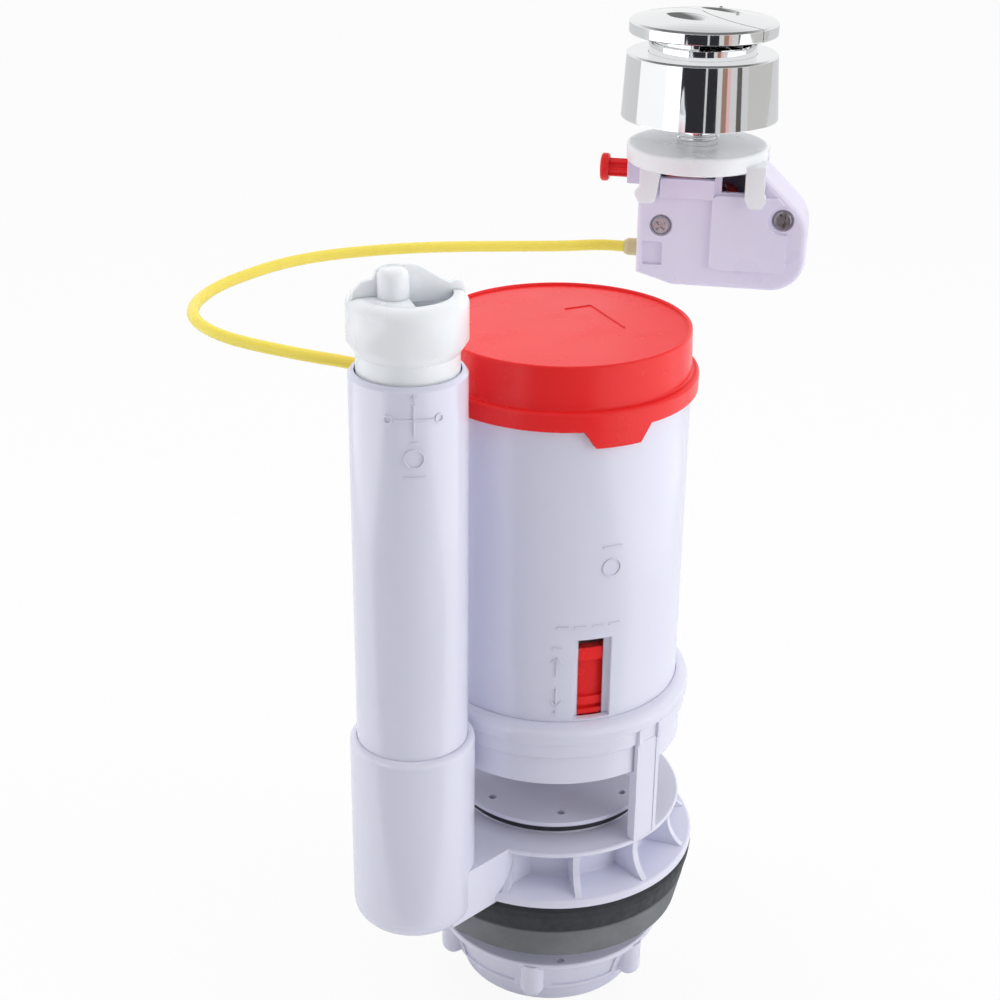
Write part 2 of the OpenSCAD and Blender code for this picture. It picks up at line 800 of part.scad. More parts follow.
// Guide rails that hold the volume slider's edges
module slider_rail(side) {
    start = side * (slide_half_deg + 0.6);
    z0 = z_band_top + edge;
    z1 = z_slide_top + slide_travel + 3;
    rotate([0, 0, window_deg + start + (side > 0 ? 0 : -rail_w)])
        rotate_extrude(angle = rail_w) translate([slide_in_r - 2, z0])
            square([tower_in_r - slide_in_r + 2.2, z1 - z0]);
    rotate([0, 0, window_deg + start - 1.5 * rail_w + (side > 0 ? 0.5 * rail_w : 0)])
        rotate_extrude(angle = 2.5 * rail_w) translate([slide_in_r - 2, z0])
            square([2 - loose_fit, z1 - z0]);
}

module tower_shell() {
    color("lavender") difference() {
        union() {
            rotate_extrude() tower_profile();
            for (side = [-1, 1]) slider_rail(side);
            at_cable() translate([0, 0, z_wire]) rod_x(tower_in_r + eps, tower_r + boss_l, boss_r);
        }
        rotate([0, 0, window_deg])
            translate([0, 0, z_window]) linear_extrude(window_h) polygon([
                [tower_in_r - 0.2, -window_w / 2], [tower_r - window_bevel, -window_w / 2],
                [tower_r + window_bevel, -window_w / 2 - 2 * window_bevel],
                [tower_r + window_bevel, window_w / 2 + 2 * window_bevel],
                [tower_r - window_bevel, window_w / 2], [tower_in_r - 0.2, window_w / 2]]);
        at_cable() translate([0, 0, z_wire]) rod_x(tower_in_r - 5, tower_r + boss_l + eps, gland_r + fixed_fit);
    }
}

module cap_profile() {
    polygon(concat([
        [tower_r + fixed_fit, z_cap]],
        arc(cap_rim_r - edge, z_cap + edge, edge, -90, 0, 4),
        arc(cap_rim_r - rim_round, z_cap + cap_rim_h - rim_round, rim_round, 0, 90, 5),
        arc(cap_side_r + edge, z_cap + cap_rim_h + edge, edge, 270, 180, 4),
        arc(cap_side_r - cap_taper - cap_lip / 2, z_cap_top - cap_lip / 2, cap_lip / 2, 0, 170, 8),
        [[cap_side_r - cap_taper - cap_lip, z_cap_top - cap_dish],
        [0, z_cap_top - cap_dish], [0, z_cap_top - cap_dish - cap_wall],
        [cap_side_r - cap_wall - 1.5, z_cap_top - cap_dish - cap_wall],
        [cap_side_r - cap_wall, z_cap_top - cap_dish - cap_wall - 1.5],
        [cap_side_r - cap_wall, z_tower_top], [tower_r + fixed_fit, z_tower_top]]));
}

module cap_tab() {
    intersection() {
        ring(cap_rim_r, tower_r + fixed_fit, z_cap - tab_h, z_cap + eps);
        rotate([0, 0, tab_deg + 90]) slab_y(-cap_rim_r - 1, -cap_rim_r / 2) polygon([
            [-tab_foot_w / 2, z_cap - tab_h], [tab_foot_w / 2, z_cap - tab_h],
            [tab_top_w / 2, z_cap + eps], [-tab_top_w / 2, z_cap + eps]]);
    }
}

module cap_chevron() {
    translate([chevron_at[0], chevron_at[1], z_cap_top - cap_dish - eps]) for (arm = chevron_arms)
        rotate([0, 0, arm[1]]) block(-chevron_w / 2, arm[0], -chevron_w / 2, chevron_w / 2, 0, chevron_h + eps);
}

module tower_cap() {
    color("crimson") union() {
        rotate_extrude() cap_profile();
        cap_tab();
        cap_chevron();
    }
}

module slider_band(z0, z1, r0, r1, half_deg) {
    rotate([0, 0, window_deg - half_deg]) rotate_extrude(angle = 2 * half_deg)
        translate([r0, z0]) square([r1 - r0, z1 - z0]);
}

module volume_slider() {
    grip_deg = slide_half_deg - 3;
    color("crimson") union() {
        slider_band(z_slide, z_slide_top, slide_in_r, slide_plate_r, slide_half_deg);
        slider_band(z_window + 0.3, z_window + 2, slide_plate_r - eps, slide_out_r, grip_deg);
        slider_band(z_window + 3.2, z_window + 6, slide_plate_r - eps, slide_out_r - 0.5, grip_deg);
        slider_band(z_slide_top - 4.3, z_slide_top, slide_plate_r - eps, slide_out_r, grip_deg);
    }
}

// Valve and its guides

module spindle_guide() {
    z0 = z_band - fixed_fit;
    ring_in = band_in_r - 1.9;
    color("lavender") difference() {
        union() {
            ring(band_in_r - fixed_fit, ring_in, z0, z0 + guide_ring_h);
            translate([0, 0, z0]) cylinder(r = guide_hub_r, h = guide_hub_h);
            for (k = [0 : 2]) rotate([0, 0, first_post_deg + 60 + 120 * k])
                block(spindle_r + 1.5, ring_in + eps, -guide_arm_w / 2, guide_arm_w / 2,
                    z0 + edge, z0 + guide_ring_h - edge);
        }
        translate([0, 0, z0 - eps]) cylinder(r = spindle_r + run_fit, h = guide_hub_h + 2 * eps);
    }
}

module lift_spindle() {
    z_foot = z_retainer - retainer_nut_h;
    low = z_tip - tip_r - tip_gap;
    high = z_tip + tip_r + tip_gap;
    color("lavender") rotate_extrude() polygon([
        [0, z_foot], [spindle_r - edge, z_foot], [spindle_r, z_foot + edge], [spindle_r, z_hub_top],
        [spindle_collar_r, z_hub_top], [spindle_collar_r, z_hub_top + spindle_collar_t],
        [spindle_r, z_hub_top + spindle_collar_t], [spindle_r, z_float - spindle_collar_t],
        [spindle_collar_r, z_float - spindle_collar_t], [spindle_collar_r, z_float], [spindle_r, z_float],
        [spindle_r, low - head_t], [head_r, low - head_t], [head_r, low], [neck_r, low],
        [neck_r, high], [head_r, high], [head_r, high + head_t - edge], [head_r - edge, high + head_t],
        [0, high + head_t]]);
}

module float_cup() {
    hub_bore = spindle_r + run_fit;
    top = z_float + float_h;
    color("ivory") rotate_extrude() polygon([
        [hub_bore, z_float], [hub_bore + 2.4, z_float], [hub_bore + 2.4, top - float_wall],
        [float_r - float_wall, top - float_wall], [float_r - float_wall, z_float + float_foot],
        [float_r, z_float + float_foot], [float_r, top - 2], [float_r - 2, top], [hub_bore, top]]);
}

module valve_disc() {
    color("lavender") difference() {
        rotate_extrude() polygon([
            [spindle_r + run_fit, z_plate], [plate_r - edge, z_plate], [plate_r, z_plate + edge],
            [plate_r, z_plate + plate_t], [plate_r - edge, z_plate + plate_t],
            [hub_r + 2, z_plate + plate_t], [hub_r, z_plate + plate_t + 2], [hub_r, z_hub_top],
            [spindle_r + run_fit, z_hub_top]]);
        for (k = [0 : hole_n - 1]) rotate([0, 0, first_hole_deg + 360 * k / hole_n])
            translate([hole_circle_r, 0, z_plate - eps]) cylinder(r = hole_r, h = plate_t + 2 * eps);
    }
}

module valve_seal() {
    color("darkslategray") ring(seal_out_r, seal_in_r, z_plate - seal_t, z_plate);
}

module seal_retainer() {
    color("lavender") difference() {
        union() {
            rotate_extrude() polygon([
                [0, z_retainer], [retainer_r - edge, z_retainer], [retainer_r, z_retainer + edge],
                [retainer_r, z_plate - seal_t], [seal_in_r - fixed_fit, z_plate - seal_t],
                [seal_in_r - fixed_fit, z_plate], [0, z_plate]]);
            translate([0, 0, z_retainer - retainer_nut_h])
                cylinder(r = retainer_nut_r, h = retainer_nut_h + eps, $fn = 6);
        }
        translate([0, 0, z_retainer - retainer_nut_h - eps])
            cylinder(r = spindle_r + run_fit, h = retainer_nut_h + retainer_t + seal_t + 2 * eps);
    }
}

// Crank in the tower's top, drawn with u along the cable

module crank_frame() {
    plate_r_out = tower_in_r - 0.2;
    bush_drop = 4;
    vent_r = 5;
    vent_at = 24;
    color("lavender") at_cable() difference() {
        union() {
            translate([0, 0, z_frame]) cylinder(r = plate_r_out, h = frame_t);
            translate([0, 0, z_frame - bush_drop]) cylinder(r = spindle_r + 3, h = bush_drop + eps);
            for (side = [-1, 1]) translate([crank_lift_l, 0, 0]) {
                slab_y(side * (cheek_in + cheek_t / 2) - cheek_t / 2, side * (cheek_in + cheek_t / 2) + cheek_t / 2)
                    union() {
                        translate([0, z_pivot]) circle(cheek_r);
                        translate([-cheek_r, z_frame + eps]) square([2 * cheek_r, z_pivot - z_frame - eps]);
                    }
            }
        }
        translate([0, 0, z_frame - bush_drop - eps])
            cylinder(r = spindle_r + run_fit, h = bush_drop + frame_t + 2 * eps);
        translate([crank_lift_l, 0, z_pivot]) rod_y(-15, 15, pin_r + run_fit);
        for (a = [60, 120, 180, 240, 300]) rotate([0, 0, a]) translate([vent_at, 0, z_frame - eps])
            cylinder(r = vent_r, h = frame_t + 2 * eps);
    }
}

module crank_pin() {
    reach = cheek_in + cheek_t + 0.8;
    color("silver") at_cable() translate([crank_lift_l, 0, z_pivot]) rod_y(-reach, reach, pin_r);
}

module bell_crank() {
    yoke = 7;
    color("ivory") at_cable() translate([crank_lift_l, 0, z_pivot]) rotate([0, -crank_half, 0]) difference() {
        union() {
            rod_y(-crank_half_t, crank_half_t, 3.8);
            block(-yoke - 2, 0, -crank_half_t, crank_half_t, -2, 2);
            block(-yoke - 2, -yoke, -tine_out, tine_out, -1.6, 1.6);
            for (side = [-1, 1]) {
                block(-crank_lift_l, -yoke, min(side * tine_in, side * tine_out), max(side * tine_in, side * tine_out),
                    -1, 1);
                translate([-crank_lift_l, 0, 0])
                    rod_y(min(side * tine_in, side * tine_out), max(side * tine_in, side * tine_out), tip_r);
            }
            block(-3.6, 3.6, -crank_half_t, crank_half_t, 0, crank_up_l + slot_end);
        }
        rod_y(-10, 10, pin_r + run_fit);
        block(-10, 10, -fork_in, fork_in, 5, crank_up_l + slot_end + 1);
        block(-slot_w / 2, slot_w / 2, -10, 10, crank_up_l - slot_start, crank_up_l + slot_end + 1);
    }
}

// Cable ends and sheath

module tower_gland() {
    collar_u = tower_r + boss_l;
    color("whitesmoke") at_cable() translate([0, 0, z_wire]) difference() {
        union() {
            rod_x(gland_in_u, collar_u + eps, gland_r);
            rod_x(collar_u, collar_u + 2, boss_r);
            translate([collar_u + 2, 0, 0]) rotate([0, 90, 0])
                cylinder(r1 = gland_r + 0.4, r2 = gland_r - 0.4, h = gland_mouth_u - collar_u - 2);
        }
        rod_x(gland_in_u - 1, gland_mouth_u + 1, wire_bore_r);
    }
}

module tower_wire() {
    color("silver") at_cable() translate([0, 0, z_wire]) union() {
        rod_x(crank_wire_u, wire_out_u, wire_r);
        translate([crank_wire_u, 0, 0]) rod_y(-crank_half_t - 0.5, crank_half_t + 0.5, nipple_r);
    }
}

module cable_sheath() {
    color("gold") sweep(smooth_route(sheath_route, sheath_steps), sheath_r, sheath_sides, [0, 0, 1]);
}

module box_ferrule() {
    nose = 1.4;
    color("khaki") at_unit() translate([0, 0, z_pull]) difference() {
        union() {
            translate([ferrule_out_x, 0, 0]) rotate([0, 90, 0])
                cylinder(r1 = sheath_r + 0.5, r2 = ferrule_r, h = nose);
            rod_x(ferrule_out_x + nose, ferrule_in_x, ferrule_r);
            rod_x(box_left + box_wall + fixed_fit, box_left + box_wall + 2, ferrule_r + 1);
        }
        rod_x(ferrule_out_x - 1, ferrule_in_x + 1, wire_bore_r);
    }
}

module box_wire() {
    color("silver") at_unit() translate([0, 0, z_pull]) union() {
        rod_x(ferrule_out_x + 0.8, lever_wire_x, wire_r);
        translate([lever_wire_x, 0, 0]) rod_y(-lever_half_t - 0.5, lever_half_t + 0.5, nipple_r);
    }
}

// Button box

module box_outline(inset) {
    chamfer_z = box_chamfer[0][1] + inset * tan(45 - box_chamfer_deg / 2);
    chamfer_x = box_chamfer[1][0] + inset * tan(box_chamfer_deg / 2);
    side_x = box_right - box_side_r;
    side_r = box_side_r - inset;
    slope_x = side_x + (side_r - (unit_z - inset - box_side_z) * sin(box_slope_deg)) / cos(box_slope_deg);
    polygon(concat(
        [[box_left + inset, chamfer_z], [chamfer_x, box_bottom + inset]],
        arc(box_right - box_round, box_bottom + box_round, box_round - inset, -90, 0, 12),
        arc(side_x, box_side_z, side_r, 0, box_slope_deg, 6),
        [[slope_x, unit_z - inset], [box_left + inset, unit_z - inset]]));
}

// Outside of a half, with its front edges rounded
module box_blank() {
    hull() for (a = [0, 30, 60, 90])
        slab_y(-half_d + box_edge * (1 - sin(a)), 0) box_outline(box_edge * (1 - cos(a)));
}

// Front half of the shell; the rear half is its mirror image
module box_half() {
    difference() {
        union() {
            box_blank();
            block(box_left - lock_boss_l, box_left + eps, -lock_boss_half, 0, unit_z - lock_boss_h, unit_z);
        }
        slab_y(-half_d + box_wall, eps) box_outline(box_wall);
        translate([0, 0, unit_z - box_wall - eps]) cylinder(r = stem_r + loose_fit, h = box_wall + 2 * eps);
        translate([0, 0, lock_z]) rod_x(box_left - lock_boss_l - eps, box_left + box_wall + eps, lock_r + fixed_fit);
        translate([0, 0, z_pull]) rod_x(box_left - eps, box_left + box_wall + eps, ferrule_r + fixed_fit);
    }
    intersection() {
        union() {
            for (p = screw_at) translate([p[0], 0, p[1]]) rod_y(-half_d + eps, 0, screw_boss_r);
            translate([lever_x, 0, z_lever]) rod_y(-half_d + eps, -lever_half_t - 0.6, pin_r + 2);
        }
        slab_y(-half_d, 0) box_outline(edge);
    }
}

module pin_seat() {
    translate([lever_x, 0, z_lever]) rod_y(-half_d + box_wall, 0, pin_r + run_fit);
}

// Raised panel on the front, cut away round the right screw
module front_panel() {
    difference() {
        intersection() {
            round_square(panel_x[0], panel_x[1], unit_z - panel_drop[1], unit_z - panel_drop[0], panel_round);
            box_outline(box_edge);
        }
        translate(screw_at[1]) circle(panel_notch_r);
        translate(screw_at[1]) square(2 * panel_drop[0]);
        translate(screw_at[1] - [0, panel_notch_r]) square([panel_drop[0], panel_notch_r]);
    }
}

module box_front() {
    face = -half_d - panel_t;
    inside = -half_d + box_wall + eps;
    color("thistle") at_unit() difference() {
        union() {
            box_half();
            slab_y(face, -half_d + eps) front_panel();
            slab_y(face, -half_d + eps)
                round_square(strip_x[0], strip_x[1], unit_z - strip_drop[1], unit_z - strip_drop[0], corner_r);
        }
        pin_seat();
        for (p = screw_at) translate([p[0], 0, p[1]]) {
            rod_y(face - eps, eps, screw_r + run_fit);
            rod_y(face - eps, -half_d + screw_sink, screw_head_r + loose_fit);
        }
        slab_y(face, -half_d + recess_t)
            round_square(recess_x[0], recess_x[1], unit_z - recess_drop[1], unit_z - recess_drop[0], corner_r);
        block(strip_x[0], strip_x[1], face - eps, inside, unit_z - strip_drop[0], unit_z - slit_drop);
        block(port_x[0], port_x[1], face - eps, inside, unit_z - port_drop, unit_z - slit_drop);
    }
}

module box_rear() {
    color("thistle") at_unit() mirror([0, 1, 0]) difference() {
        box_half();
        pin_seat();
        for (p = screw_at) translate([p[0], 0, p[1]]) rod_y(-half_d + box_wall, eps, screw_r + run_fit);
    }
}

module box_screw() {
    cross_w = 0.9;
    cross_l = 4.2;
    head_y = -half_d + screw_sink;
    difference() {
        union() {
            translate([0, head_y, 0]) rotate([90, 0, 0]) cylinder(r1 = screw_head_r, r2 = screw_head_r - 1, h = 1.4);
            rod_y(head_y - eps, head_y + screw_l, screw_r);
        }
        for (a = [45, 135]) rotate([0, a, 0])
            block(-cross_l / 2, cross_l / 2, head_y - 2, head_y - 0.5, -cross_w / 2, cross_w / 2);
    }
}

module box_screws() {
    color("silver") at_unit() for (p = screw_at) translate([p[0], 0, p[1]]) box_screw();
}

// Lever in the box

module pull_lever() {
    reach = lever_x + rod_x + 2.2;
    nose_l = 9.4;
    color("crimson") at_unit() translate([lever_x, 0, z_lever]) rotate([0, lever_half, 0]) difference() {
        union() {
            rod_y(-lever_half_t, lever_half_t, 4);
            block(-reach, 0, -lever_half_t, lever_half_t, -arm_half_t, arm_half_t);
            block(-2.4, 2.4, -lever_half_t, lever_half_t, 0, nose_l);
            block(-3.4, 3.4, -lever_half_t, lever_half_t, -lever_down_l - slot_end, 0);
        }
        rod_y(-10, 10, pin_r + run_fit);
        block(-10, 10, -fork_in, fork_in, -lever_down_l - slot_end - 1, -5);
        block(-slot_w / 2, slot_w / 2, -10, 10, -lever_down_l - slot_end - 1, -lever_down_l + slot_start);
    }
}

module lever_pin() {
    reach = half_d - box_wall - 0.1;
    color("silver") at_unit() translate([lever_x, 0, z_lever]) rod_y(-reach, reach, pin_r);
}

// Torsion spring round the lever pin's front boss, with one leg up to the window
module lever_spring() {
    coil_r = pin_r + 2.9;
    turns = 3;
    y0 = -lever_half_t - 0.8;
    pitch = 1;
    coil = [for (i = [0 : coil_fn * turns]) let (a = 360 * i / coil_fn)
        [coil_r * cos(a), y0 - pitch * i / coil_fn, coil_r * sin(a)]];
    foot = [[coil_r, y0, -7], [coil_r, y0, -3]];
    leg = [[coil_r, y0 - pitch * turns, 3], [coil_r - 2, y0 - pitch * turns - 0.4, 7.5], [coil_r - 3.4, y0 - 3.4, 11.5]];
    color("silver") at_unit() translate([lever_x, 0, z_lever])
        sweep(concat(foot, coil, leg), spring_wire_r, 6, [0, 1, 0]);
}

// Bracket, lock pin, stem and skirt

// Outlines of the bracket's legs: the left one leans and flares, the right one has a stepped end
module left_leg() {
    foot = unit_z - leg_l;
    polygon(concat(
        [[left_leg_x[1], unit_z + leg_web_t], [left_leg_x[0], unit_z + leg_web_t], [left_leg_x[0], unit_z - leg_l / 2],
        [left_leg_x[0] - leg_flare, unit_z - leg_l * 0.7]],
        arc(left_leg_x[0] + 1, foot + 2, 2, 200, 270, 4),
        arc(left_leg_x[1] - leg_flare - 2, foot + 2, 2, 270, 350, 4)));
}

module right_leg() {
    foot = unit_z - leg_l;
    polygon(concat(
        [[right_leg_x[1], unit_z + leg_web_t], [right_leg_x[0], unit_z + leg_web_t], [right_leg_x[0], foot + 3]],
        arc(right_leg_x[0] + 2.5, foot + 1.5, 1.5, 180, 270, 4),
        arc(right_leg_x[1] - 1.5, foot + 1.5, 1.5, 270, 360, 4),
        [[right_leg_x[1] + 0.6, foot + 2.5], [right_leg_x[1] + 0.6, foot + 4.4], [right_leg_x[1], foot + 5]]));
}

module clamp_bracket() {
    color("whitesmoke", 0.8) at_unit() difference() {
        union() {
            rotate_extrude() polygon(concat(
                [[0, unit_z], [bracket_r - edge, unit_z], [bracket_r, unit_z + edge]],
                arc(bracket_r - bracket_round, z_bracket_top - bracket_round, bracket_round, 0, 90, 5),
                [[0, z_bracket_top]]));
            for (side = [0, 1]) mirror([0, side, 0]) {
                slab_y(-leg_y - leg_t, -leg_y) left_leg();
                slab_y(-leg_y - leg_t, -leg_y) right_leg();
                block(right_leg_x[0], right_leg_x[1], -leg_y - eps, -bracket_r / 4, unit_z, unit_z + leg_web_t);
            }
        }
        translate([0, 0, unit_z - eps]) cylinder(r = stem_r + fixed_fit, h = bracket_t + 2 * eps);
    }
}

module lock_pin() {
    web_x = -groove_r - 0.2 - fork_web;
    shank_end = box_left - 0.2;
    color("crimson") at_unit() translate([0, 0, lock_z]) union() {
        translate([lock_knob_x, 0, 0]) rotate([0, 90, 0]) rotate_extrude() polygon([
            [0, 0], [lock_knob_r - edge, 0], [lock_knob_r, edge], [lock_knob_r, lock_knob_t - edge],
            [lock_knob_r - edge, lock_knob_t], [0, lock_knob_t]]);
        rod_x(lock_knob_x + eps, shank_end, lock_r - lock_groove);
        intersection() {
            rod_x(lock_knob_x + eps, shank_end, lock_r);
            for (a = [0, 60, 120]) rotate([a, 0, 0])
                block(lock_knob_x, shank_end, -lock_r, lock_r, -lock_fin / 2, lock_fin / 2);
        }
        rod_x(box_left - lock_boss_l + loose_fit, shank_end, lock_r);
        block(shank_end - eps, web_x + eps, -2.4, 2.4, -0.8, fork_t);
        difference() {
            block(web_x, fork_end_x, -fork_half_out, fork_half_out, 0, fork_t);
            translate([0, 0, -eps]) cylinder(r = fork_half_in, h = fork_t + 2 * eps);
            block(0, fork_end_x + 1, -fork_half_in, fork_half_in, -eps, fork_t + eps);
        }
    }
}

module threaded_stem() {
    z_foot = unit_z - stem_l_below;
    color("silver") at_unit() union() {
        rotate_extrude() polygon([
            [stem_bore_r, z_foot], [stem_r - edge, z_foot], [stem_r, z_foot + edge],
            [stem_r, lock_z - loose_fit], [groove_r, lock_z - loose_fit],
            [groove_r, lock_z + fork_t + loose_fit], [stem_r, lock_z + fork_t + loose_fit],
            [stem_r, z_cup], [cup_r, z_cup], [cup_r, z_cup_top], [cup_r - cup_wall, z_cup_top],
            [cup_r - cup_wall, z_cup + cup_floor], [stem_bore_r, z_cup + cup_floor]]);
        for (side = [-1, 1]) rotate([0, 0, split_deg - 90]) translate([side * spring_at, 0, z_cup + cup_floor - eps])
            cylinder(r = peg_r, h = peg_h + eps);
    }
}

module lid_skirt() {
    web_top = z_skirt + skirt_web_h + skirt_web_t;
    web_low = z_skirt + skirt_web_h;
    color("silver") at_unit() rotate_extrude() polygon([
        [skirt_r - skirt_wall, z_skirt], [skirt_r, z_skirt], [skirt_top_r, z_skirt_top - edge],
        [skirt_top_r - edge, z_skirt_top], [cup_r + fixed_fit, z_skirt_top],
        [cup_r + fixed_fit, z_skirt_top - skirt_wall], [skirt_top_r - skirt_wall, z_skirt_top - skirt_wall],
        [skirt_r - skirt_wall - 0.3, web_top], [stem_r + fixed_fit, web_top], [stem_r + fixed_fit, web_low],
        [skirt_r - skirt_wall - 0.1, web_low]]);
}

// Flush keys, two halves of one dome parted by an S-shaped line

module key_dome() {
    dome_r = (key_r * key_r + key_dome_h * key_dome_h) / (2 * key_dome_h);
    dome_deg = asin((key_r - edge) / dome_r);
    rotate_extrude() polygon(concat(
        [[0, z_key_under], [key_r - key_wall, z_key_under], [key_r - key_wall, z_key],
        [key_r - edge / 2, z_key], [key_r, z_key + edge / 2], [key_r, z_key_plate - edge]],
        arc(0, z_key_top - dome_r, dome_r, 90 - dome_deg, 90, 10)));
}

// Half of the disc's plan on one side of the S line; both halves use the same arcs
module key_half_plan() {
    chord = key_r / 2;
    sag_r = (chord * chord + split_sag * split_sag) / (2 * split_sag);
    lift = sag_r - split_sag;
    difference() {
        union() {
            translate([-2 * key_r, -2 * key_r]) square([4 * key_r, 2 * key_r - split_gap]);
            translate([-chord, -lift]) circle(sag_r - split_gap);
        }
        translate([chord, lift]) circle(sag_r + split_gap);
    }
}

// Leaf-shaped thumb hollow, a spindle of revolution lying in the dome's top
module thumb_hollow() {
    leaf_l = 26;
    leaf_sag = 4.6;
    leaf_r = (leaf_l * leaf_l / 4 + leaf_sag * leaf_sag) / (2 * leaf_sag);
    translate([0, -9.5, z_key_top + 1.6]) rotate([0, 90, 0]) rotate_extrude() intersection() {
        translate([leaf_sag - leaf_r, 0]) circle(leaf_r);
        translate([0, -leaf_l / 2]) square([leaf_sag, leaf_l]);
    }
}

// One key, turned to its side, with its rod's round tip at the given height and a leg that runs in the cup
module key(turn, z_end) {
    rotate([0, 0, split_deg + turn]) {
        difference() {
            intersection() {
                key_dome();
                translate([0, 0, z_key - 1]) linear_extrude(z_key_top - z_key + 2) key_half_plan();
            }
            thumb_hollow();
        }
        translate([0, -rod_off, z_end]) {
            cylinder(r = rod_r, h = z_key_under - z_end + eps);
            sphere(r = rod_r, $fn = hull_fn);
        }
        rotate([0, 0, -90 - key_leg_deg]) rotate_extrude(angle = 2 * key_leg_deg)
            translate([cup_r - cup_wall - loose_fit - key_leg_t, z_key_under - key_leg_l])
                square([key_leg_t, key_leg_l + eps]);
    }
}

function rod_end(arm_x, room) = z_lever + arm_x * tan(lever_half)
    + (arm_half_t + rod_r + room) / cos(lever_half);

module full_key() {
    color("silver") at_unit() key(0, rod_end(lever_x - rod_x, loose_fit));
}

module half_key() {
    color("silver") at_unit() key(180, rod_end(lever_x + rod_x, loose_fit) + press + loose_fit);
}

module key_spring(side) {
    low = z_cup + cup_floor + spring_wire_r + run_fit;
    high = z_key_under - spring_wire_r - run_fit;
    steps = coil_fn * spring_turns;
    coil = [for (i = [0 : steps]) let (a = 360 * i / coil_fn)
        [spring_r * cos(a), spring_r * sin(a), low + (high - low) * i / steps]];
    color("silver") at_unit() rotate([0, 0, split_deg - 90]) translate([side * spring_at, 0, 0])
        sweep(coil, spring_wire_r, 6, [0, 0, 1]);
}

module full_key_spring() {
    key_spring(1);
}

module half_key_spring() {
    key_spring(-1);
}

outlet_base();
locking_cage();
black_washer();
grey_washer();
back_nut();
overflow_tube();
overflow_seal();
overflow_slider();
tower_shell();
tower_cap();
volume_slider();
spindle_guide();
crank_frame();
crank_pin();
bell_crank();
lift_spindle();
float_cup();
valve_disc();
valve_seal();
seal_retainer();
tower_gland();
tower_wire();
cable_sheath();
box_ferrule();
box_wire();
box_front();
box_rear();
box_screws();
pull_lever();
lever_pin();
lever_spring();
clamp_bracket();
lock_pin();
threaded_stem();
lid_skirt();
full_key();
half_key();
full_key_spring();
half_key_spring();
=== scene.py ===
"""Finishes, cable, threads, marks and studio for a cable-operated dual flush valve."""

import json
import math

import bmesh
import bpy
from bpy.props import FloatProperty, FloatVectorProperty, IntProperty, PointerProperty
from mathutils import Matrix, Vector
from mathutils.bvhtree import BVHTree


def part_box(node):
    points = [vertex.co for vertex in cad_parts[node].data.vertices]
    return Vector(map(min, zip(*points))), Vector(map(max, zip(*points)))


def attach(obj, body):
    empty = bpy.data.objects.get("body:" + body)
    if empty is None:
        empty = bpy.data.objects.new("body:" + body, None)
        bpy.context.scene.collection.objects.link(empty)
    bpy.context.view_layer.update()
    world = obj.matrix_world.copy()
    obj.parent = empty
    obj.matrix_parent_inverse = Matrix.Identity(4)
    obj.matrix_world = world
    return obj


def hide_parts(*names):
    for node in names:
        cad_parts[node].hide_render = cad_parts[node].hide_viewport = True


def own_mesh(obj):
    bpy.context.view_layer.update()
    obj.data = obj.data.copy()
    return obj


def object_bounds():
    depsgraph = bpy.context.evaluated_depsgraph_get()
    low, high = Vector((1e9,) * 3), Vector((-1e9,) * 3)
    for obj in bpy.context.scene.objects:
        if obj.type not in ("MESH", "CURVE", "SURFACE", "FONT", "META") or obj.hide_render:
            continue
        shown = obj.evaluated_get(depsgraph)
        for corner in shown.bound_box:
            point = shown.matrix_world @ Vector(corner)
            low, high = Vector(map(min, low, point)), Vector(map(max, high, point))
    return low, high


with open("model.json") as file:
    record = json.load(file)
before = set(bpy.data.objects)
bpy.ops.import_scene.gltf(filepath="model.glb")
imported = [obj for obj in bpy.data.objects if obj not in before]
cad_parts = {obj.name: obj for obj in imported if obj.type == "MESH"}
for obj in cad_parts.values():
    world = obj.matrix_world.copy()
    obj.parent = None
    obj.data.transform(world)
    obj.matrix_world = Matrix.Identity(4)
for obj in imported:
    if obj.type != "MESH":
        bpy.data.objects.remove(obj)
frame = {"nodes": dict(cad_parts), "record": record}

bl_info = {
    "name": "Flush valve finish",
    "version": (1, 0, 0),
    "blender": (4, 5, 0),
    "location": "3D View > Sidebar > Flush valve",
    "description": "Dresses the flush valve with its cable, threads, marks, finishes and studio",
    "category": "Object",
}

CAD_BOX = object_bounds()
MM = 0.001
UP = Vector((0, 0, 1))
SMOOTH_ANGLE = math.radians(35)
MERGE_DIST = 1e-7
ROOT = "frame"
KEYS = ("full_key", "half_key")
TOWER_AXIS = Vector((0, 0, 0))
SLOT_OF_NODE = {part["node"]: part["material_slot"] for part in frame["record"]["subparts"]}

# Ending that sets this script's materials apart from the frame's own
FINISH = "_finish"

# How far raised marks stand out of a wall and reach into it
MARK_OUT = 0.45 * MM
MARK_IN = 0.4 * MM

# Widths of the marks' lines, in millimetres
LINE = 0.5
FINE_LINE = 0.45
BROAD_LINE = 0.6

# Route of the cable's sheath, from the tower's gland to the box's ferrule, in millimetres
CABLE_ROUTE = (
    (-44.26, 16.11, 205.5), (-51.78, 18.85, 205.5), (-60, 20.8, 206.8), (-68, 21.6, 208.2),
    (-78, 22.6, 209.5), (-88, 25, 210.5), (-98, 28.6, 211.3), (-107, 33.4, 212), (-114, 40, 212.6),
    (-118.6, 48, 213), (-120.4, 58, 213.2), (-119, 69, 213.4), (-114.5, 81, 213.6), (-107, 92.5, 213.8),
    (-98, 103, 214), (-88, 111.5, 214), (-77, 117.5, 214), (-66, 121.6, 214), (-54, 124.6, 214.1),
    (-38, 128.5, 213.7), (-19, 131.5, 213.2), (4, 133.9, 212.9), (18.6, 133.71, 213.5),
    (26.48, 132.32, 213.5),
)

# Middles of the pips on the flush keys, in millimetres
KEY_PIPS = ((58.2, 142.5), (62.3, 127.3))

